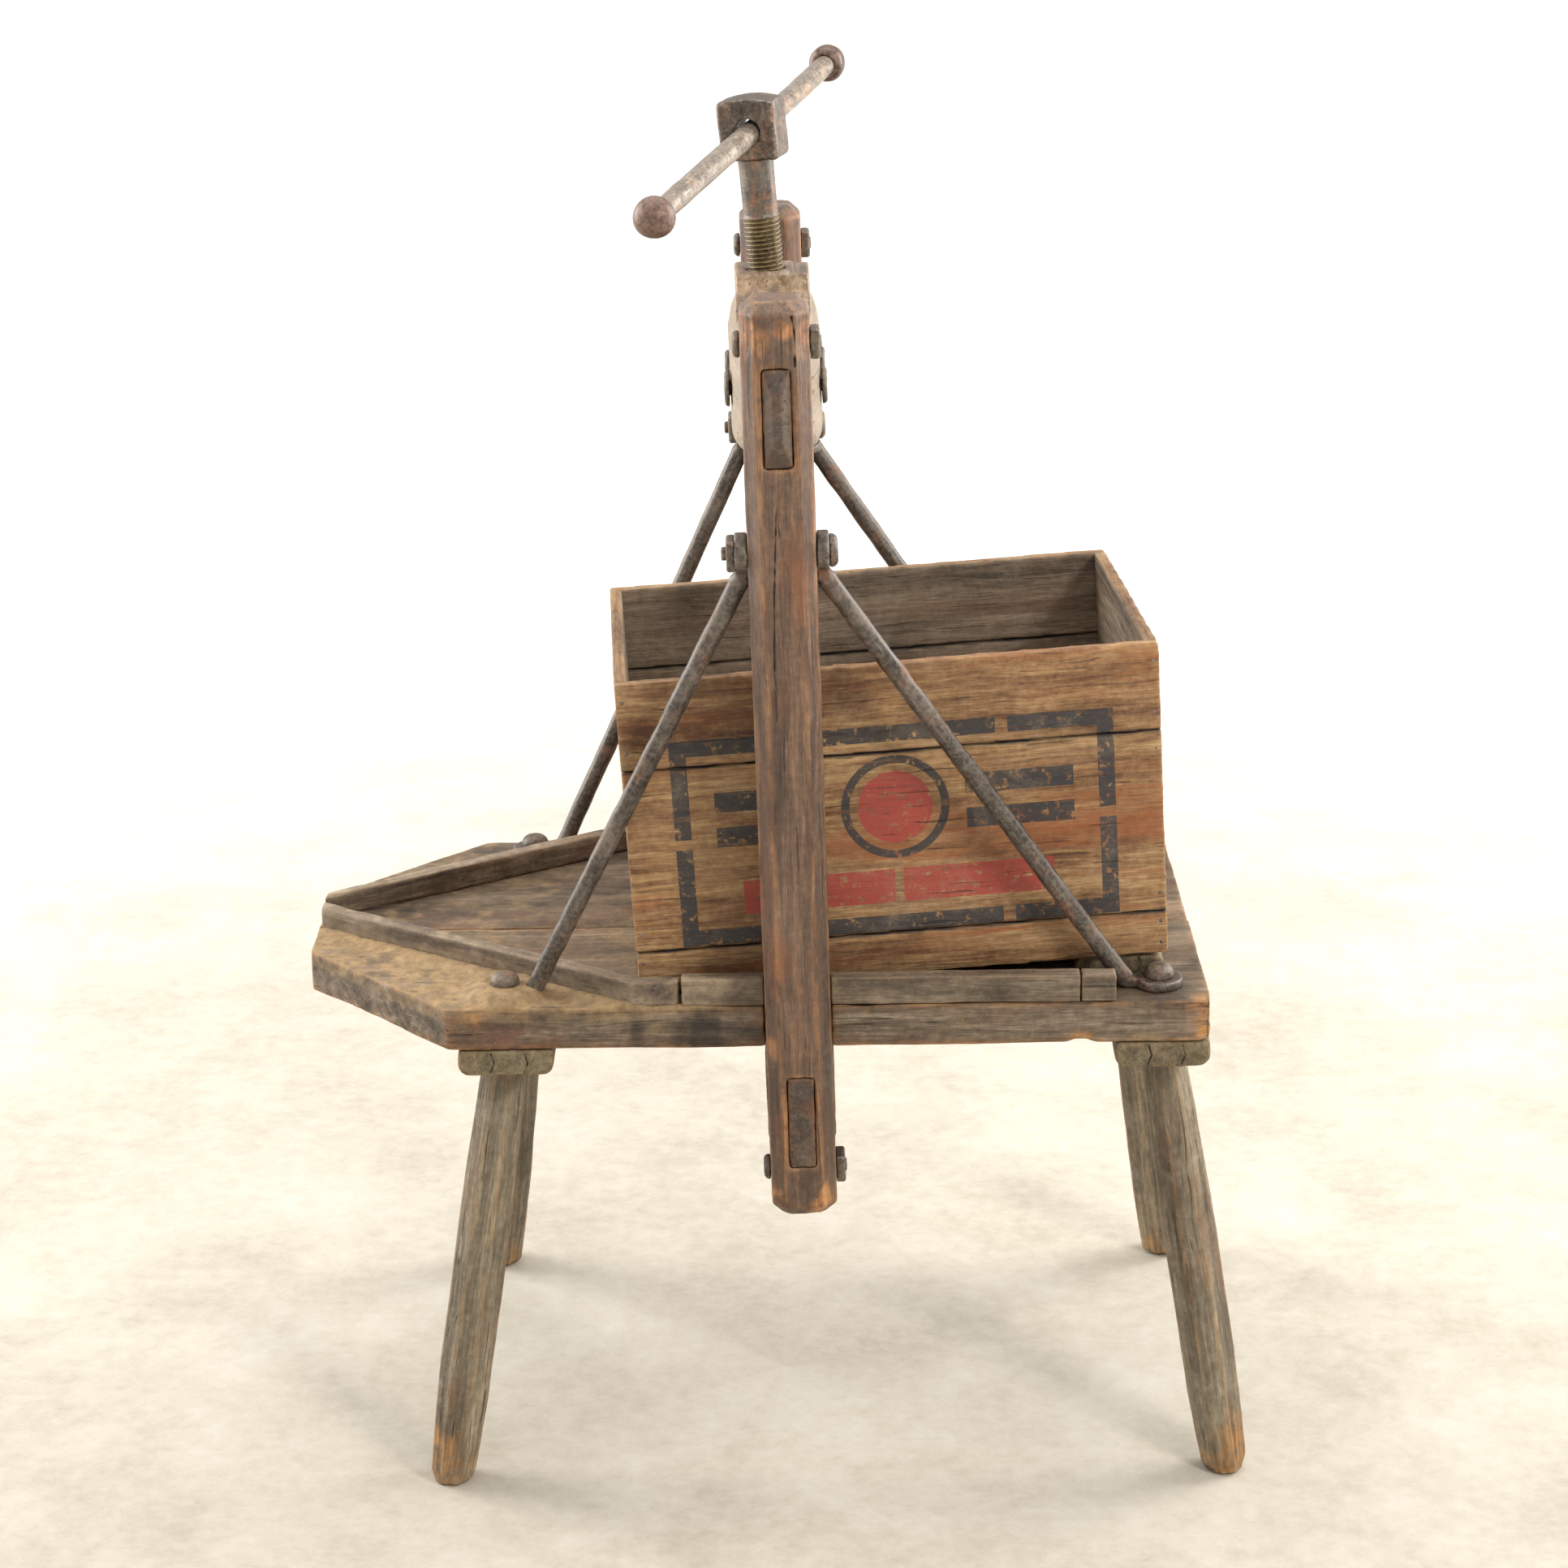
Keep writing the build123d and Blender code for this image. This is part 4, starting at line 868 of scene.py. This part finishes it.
screw_heights = (mesh_points(NODES["press_screw"].data) - np.array(screw_at)) @ np.array(screw_w)
screw_low, screw_high = float(screw_heights.min()), float(screw_heights.max())
PITCH = INCH / 6
CREST = 17.4 * MM
CREST_HALF, FLANK = 0.09, 0.36
THREAD_FROM, THREAD_TO, THREAD_SINK = -166 * MM, 137.5 * MM, 2.3 * MM
PIN_R, PIN_GROOVE, PIN_GROOVE_HALF = 11 * MM, 3.0 * MM, 3.4 * MM
NECK_SHARE, NECK_SWELL = 0.985, 14 * MM
AROUND, STEPS_PER_PITCH, PLAIN_STEP = 72, 10, 1.6 * MM


def thread_profile(turn):
    """Depth below the crest, 0 to 1, over one pitch: a flat crest, straight flanks, a narrow root."""
    phase = turn % 1.0
    return float(np.clip((abs(phase - 0.5) - CREST_HALF) / FLANK, 0, 1))


def threaded(h):
    return THREAD_FROM <= h <= THREAD_TO + PITCH


def screw_radius(h, angle):
    """The screw's radius at one height and angle: keeper pin groove, thread or plain neck."""
    if h < THREAD_FROM:
        middle = (screw_low + THREAD_FROM) / 2
        return PIN_R - (PIN_GROOVE if abs(h - middle) < PIN_GROOVE_HALF else 0)
    if h > THREAD_TO + PITCH:
        swell = max(0.0, (h - (screw_high - NECK_SWELL)) / NECK_SWELL)
        return CREST * (NECK_SHARE + (1 - NECK_SHARE) * swell)
    fade_out = min(1.0, max(0.0, (THREAD_TO + PITCH - h) / PITCH))
    fade_in = min(1.0, max(0.0, (h - THREAD_FROM) / PITCH))
    return CREST - THREAD_SINK * thread_profile(h / PITCH - angle / (2 * math.pi)) * fade_out * fade_in


def screw_heights_used():
    """Heights of the screw's rings, closer together along the thread."""
    heights = []
    h = screw_low
    while h < screw_high:
        heights.append(h)
        h += PITCH / STEPS_PER_PITCH if threaded(h) else PLAIN_STEP
    return heights + [screw_high]


def screw_mesh():
    """The screw as rings of points, with its crests rubbed and its roots dark."""
    heights = screw_heights_used()
    points, wear, hollow = [], [], []
    for h in heights:
        for k in range(AROUND):
            angle = 2 * math.pi * k / AROUND
            radius = screw_radius(h, angle)
            points.append(on_screw(h, radius, angle))
            sunk = (CREST - radius) / THREAD_SINK
            wear.append(0.55 * (1 - sunk) ** 3 if threaded(h) else 0.0)
            hollow.append(min(1.0, max(0.0, sunk - 0.25)) if threaded(h) else 0.0)
    faces = []
    for row in range(len(heights) - 1):
        for k in range(AROUND):
            a, b = row * AROUND + k, row * AROUND + (k + 1) % AROUND
            faces.append((a, b, b + AROUND, a + AROUND))
    faces.append(tuple(reversed(range(AROUND))))
    faces.append(tuple(range((len(heights) - 1) * AROUND, len(heights) * AROUND)))
    mesh = bpy.data.meshes.new("press_screw_thread")
    mesh.from_pydata(points, [], faces)
    mesh.update()
    co, normals = mesh_points(mesh), mesh_normals(mesh)
    local = (co - np.array(screw_at)) @ np.array([screw_u, screw_v, screw_w]).T
    plain = (local[:, 2] > THREAD_TO + PITCH).astype(float)
    co = co + normals * (plain * 0.35 * MM * (fbm(local * 60, 2, 5) - 0.9))[:, None]
    mesh.vertices.foreach_set("co", co.ravel())
    put_attribute(mesh, "grain", local, "FLOAT_VECTOR")
    put_attribute(mesh, "wear", np.array(wear))
    put_attribute(mesh, "hollow", np.array(hollow))
    put_attribute(mesh, "crack_stain_and_shade", np.zeros(len(co)))
    mesh.shade_smooth()
    mesh.materials.append(THREAD)
    mesh.materials.append(NECK)
    for polygon in mesh.polygons:
        height = (Vector(polygon.center) - screw_at).dot(screw_w)
        polygon.material_index = 1 if height > THREAD_TO + PITCH * 0.6 else 0
    return mesh


screw_piece = bpy.data.objects.new("press_screw_thread", screw_mesh())
bpy.context.scene.collection.objects.link(screw_piece)
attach(screw_piece, "screw")
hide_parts("press_screw")

# ---- the tommy bar: slightly bent, forged ball and mushroom ends ----
bar_axis = np.array(Vector(JOINTS["bar_slide"]["axis"]).normalized())
bar_mid = mesh_points(NODES["tommy_bar"].data).mean(0)
bar_side = np.cross(bar_axis, (0, 0, 1))
bar_side /= np.linalg.norm(bar_side)
bar_grain = Grain(bar_side, np.cross(bar_axis, bar_side), bar_axis, bar_mid)


BAR_SWEEP, BAR_SWEEP_HALF_RUN = 1.1 * MM, 300 * MM
BAR_RIPPLE, BAR_RIPPLE_RATE = 0.5 * MM, 14


def bar_bend(out, local, normals):
    """A slight sweep over the bar's length, small enough to slide through the head."""
    share = (local[:, 2] / BAR_SWEEP_HALF_RUN) ** 2
    lift = BAR_SWEEP * (1 - share) + BAR_RIPPLE * np.sin(local[:, 2] * BAR_RIPPLE_RATE)
    return out + bar_grain.axes[0] * lift[:, None]


weathered("tommy_bar", 1.4 * MM, BAR, bar_grain, round_least=1, round_most=2, dents=0.6, dent_size=40,
          grooves=0.0, bias=0.0, shape=bar_bend, pits=0.0)
weathered("bar_ball_end", 1.2 * MM, BALL, bar_grain, round_least=1, round_most=2, dents=0.9, dent_size=50,
          grooves=0.0, bias=0.1, shape=bar_bend, pits=0.0)
weathered("bar_button_end", 1.2 * MM, BALL, bar_grain, round_least=1, round_most=3, dents=0.9, dent_size=50,
          grooves=0.0, bias=0.1, shape=bar_bend, pits=0.0)

# ---- the crate ----
crate_x = np.array(Vector(JOINTS["crate_slide"]["axis"]).normalized())
crate_y = np.cross((0, 0, 1), crate_x)
crate_y /= np.linalg.norm(crate_y)
crate_z = np.cross(crate_x, crate_y)
crate_axes = np.array([crate_x, crate_y, crate_z])
CRATE_BOARDS = [n for n in BODY_OF if BODY_OF[n] == "crate" and n != "crate_nails"]
crate_low = np.min([(mesh_points(NODES[n].data) @ crate_axes.T).min(0) for n in CRATE_BOARDS], axis=0)
crate_middle = np.mean([across(n) for n in CRATE_BOARDS], axis=0)
# the outer skin of each side's boards, by the first letters of their names
SIDE_LETTERS = 11
OUTER = {"crate_front": CRATE, "crate_back_": CRATE_PLAIN, "crate_left_": CRATE_PLAIN,
         "crate_right": CRATE_PLAIN}


def seam_shade(node):
    """Shade along the seams between the boards on the node's own side of the crate."""
    side = [n for n in CRATE_BOARDS if n[:SIDE_LETTERS] == node[:SIDE_LETTERS]]
    tops = sorted((mesh_points(NODES[n].data) @ crate_z).max() for n in side)[:-1]

    def shade(co, normals):
        height = co @ crate_z
        gap = np.min([np.abs(height - top) for top in tops], axis=0)
        return (1 - ease(gap, 0.8 * MM, 3.0 * MM)) * (0.65 + 0.35 * ease(fbm(co * 30, 2, 37), -0.4, 0.2))

    return shade


# each outer crate board gets painted shade along its seams, carried with the stain marks
for node in CRATE_BOARDS:
    chips = [(across(node, 0.995, 0.0, 0.1), 16 * MM, 2.5 * MM)] if node == "crate_front_bottom" else []
    piece = weathered(node, 2.2 * MM, CRATE_DULL, boxy_grain(node), round_least=0, round_most=3, dents=0.3,
                      dent_size=22, grooves=0.2, wear_rounds=5, bias=-0.5, worn_at=chips,
                      stains_and_seam_shade=seam_shade(node) if node[:SIDE_LETTERS] in OUTER else None)
    co, normals = mesh_points(piece.data), mesh_normals(piece.data)
    put_attribute(piece.data, "place", co @ crate_axes.T - crate_low, "FLOAT_VECTOR")
    skin = OUTER.get(node[:SIDE_LETTERS])
    if skin is not None:
        piece.data.materials.append(skin)
        thin = boxy_grain(node).axes[0]
        outward = normals @ (thin * np.sign(thin @ (np.array(across(node)) - crate_middle)))
        for polygon in piece.data.polygons:
            if outward[list(polygon.vertices)].mean() > -0.5:
                polygon.material_index = 1
weathered("crate_nails", 1.0 * MM, NAIL, Grain(crate_x, crate_z, crate_y, (0, 0, 0)), round_least=1,
          round_most=2, dents=0.1, grooves=0.0, bias=0.0)

# ---- floor, light and camera ----
REACH = 60.0
FADE_FROM, FADE_TO, FADE_GLOW = 1.0, 5.0, 0.55


def floor_material():
    """Pale worn floor, fading to plain white a few metres away."""
    g = Graph("studio_floor")
    node = g.tree.nodes.new("ShaderNodeTexCoord")
    place = node.outputs["Object"]
    cloud = g.noise(place, 4.0, 7.0, 0.7)
    fine = g.noise(place, 45.0, 6.0, 0.75)
    blend = g.math("ADD", g.math("MULTIPLY", cloud, 0.6), g.math("MULTIPLY", fine, 0.4))
    colour = g.ramp(blend, (0.38, "aaa192"), (0.5, "b8b0a1"), (0.62, "c2bbae"))
    x, y, _ = g.parts(place)
    away = g.math("SQRT", g.math("ADD", g.math("MULTIPLY", x, x), g.math("MULTIPLY", y, y)))
    far = g.spread(away, FADE_FROM, FADE_TO)
    colour = g.mix(far, colour, "e8e6e2")
    g.put(g.shader.inputs["Emission Color"], tone("ffffff"))
    g.put(g.shader.inputs["Emission Strength"], g.math("MULTIPLY", far, FADE_GLOW))
    return g.finish(colour, 0.75, g.bump(fine, 0.0004, 0.4), 0.0, 0.2)


floor_mesh = bpy.data.meshes.new("studio_floor")
floor_mesh.from_pydata([(-REACH, -REACH, 0), (REACH, -REACH, 0), (REACH, REACH, 0), (-REACH, REACH, 0)], [],
                       [(0, 1, 2, 3)])
floor = bpy.data.objects.new("studio_floor", floor_mesh)
bpy.context.scene.collection.objects.link(floor)
floor_mesh.materials.append(floor_material())

SKY, SKY_STRENGTH = (1.0, 0.99, 0.97, 1), 0.75
world = bpy.data.worlds.new("studio_world")
bpy.context.scene.world = world
world.use_nodes = True
world.node_tree.nodes["Background"].inputs["Color"].default_value = SKY
world.node_tree.nodes["Background"].inputs["Strength"].default_value = SKY_STRENGTH


def softbox(name, at, target, size, power, colour=(1, 1, 1)):
    """A rectangular area light that faces a target and isn't seen itself."""
    light = bpy.data.lights.new(name, "AREA")
    light.shape = "RECTANGLE"
    light.size, light.size_y = size
    light.energy = power
    light.color = colour
    lamp = bpy.data.objects.new(name, light)
    bpy.context.scene.collection.objects.link(lamp)
    lamp.location = at
    lamp.rotation_euler = (Vector(target) - Vector(at)).to_track_quat("-Z", "Y").to_euler()
    lamp.visible_camera = False


softbox("key_front_right", (2.2, -2.6, 2.9), (0, 0, 0.5), (0.8, 0.8), 75, (1.0, 0.97, 0.93))
softbox("back_left", (-3.2, 1.2, 2.0), (0, 0, 0.9), (2.0, 2.6), 170)
softbox("back_right", (3.2, 1.3, 2.1), (0, 0, 0.9), (2.0, 2.6), 160)
softbox("top", (0.0, 0.6, 4.0), (0, 0, 0.6), (3.0, 3.0), 70)

bpy.context.scene.view_settings.view_transform = "Standard"

camera_data = bpy.data.cameras.new("camera")
camera = bpy.data.objects.new("camera", camera_data)
bpy.context.scene.collection.objects.link(camera)
CAMERA_AT = Vector((0.0464, -3.2729, 1.7616))
YAW, DOWN, ROLL = (math.radians(a) for a in (-0.6189, 18.6294, -0.9875))
SENSOR_WIDTH, FOCAL_LENGTH = 36.0, 78.49
forward = Vector((math.sin(YAW) * math.cos(DOWN), math.cos(YAW) * math.cos(DOWN), -math.sin(DOWN)))
right = Vector((math.cos(YAW), -math.sin(YAW), 0))
above = right.cross(forward)
right_rolled = right * math.cos(ROLL) + above * math.sin(ROLL)
above_rolled = above * math.cos(ROLL) - right * math.sin(ROLL)
turn = Matrix((right_rolled, above_rolled, -forward)).transposed()
camera.matrix_world = Matrix.Translation(CAMERA_AT) @ turn.to_4x4()
camera_data.sensor_width = SENSOR_WIDTH
camera_data.lens = FOCAL_LENGTH
bpy.context.scene.camera = camera
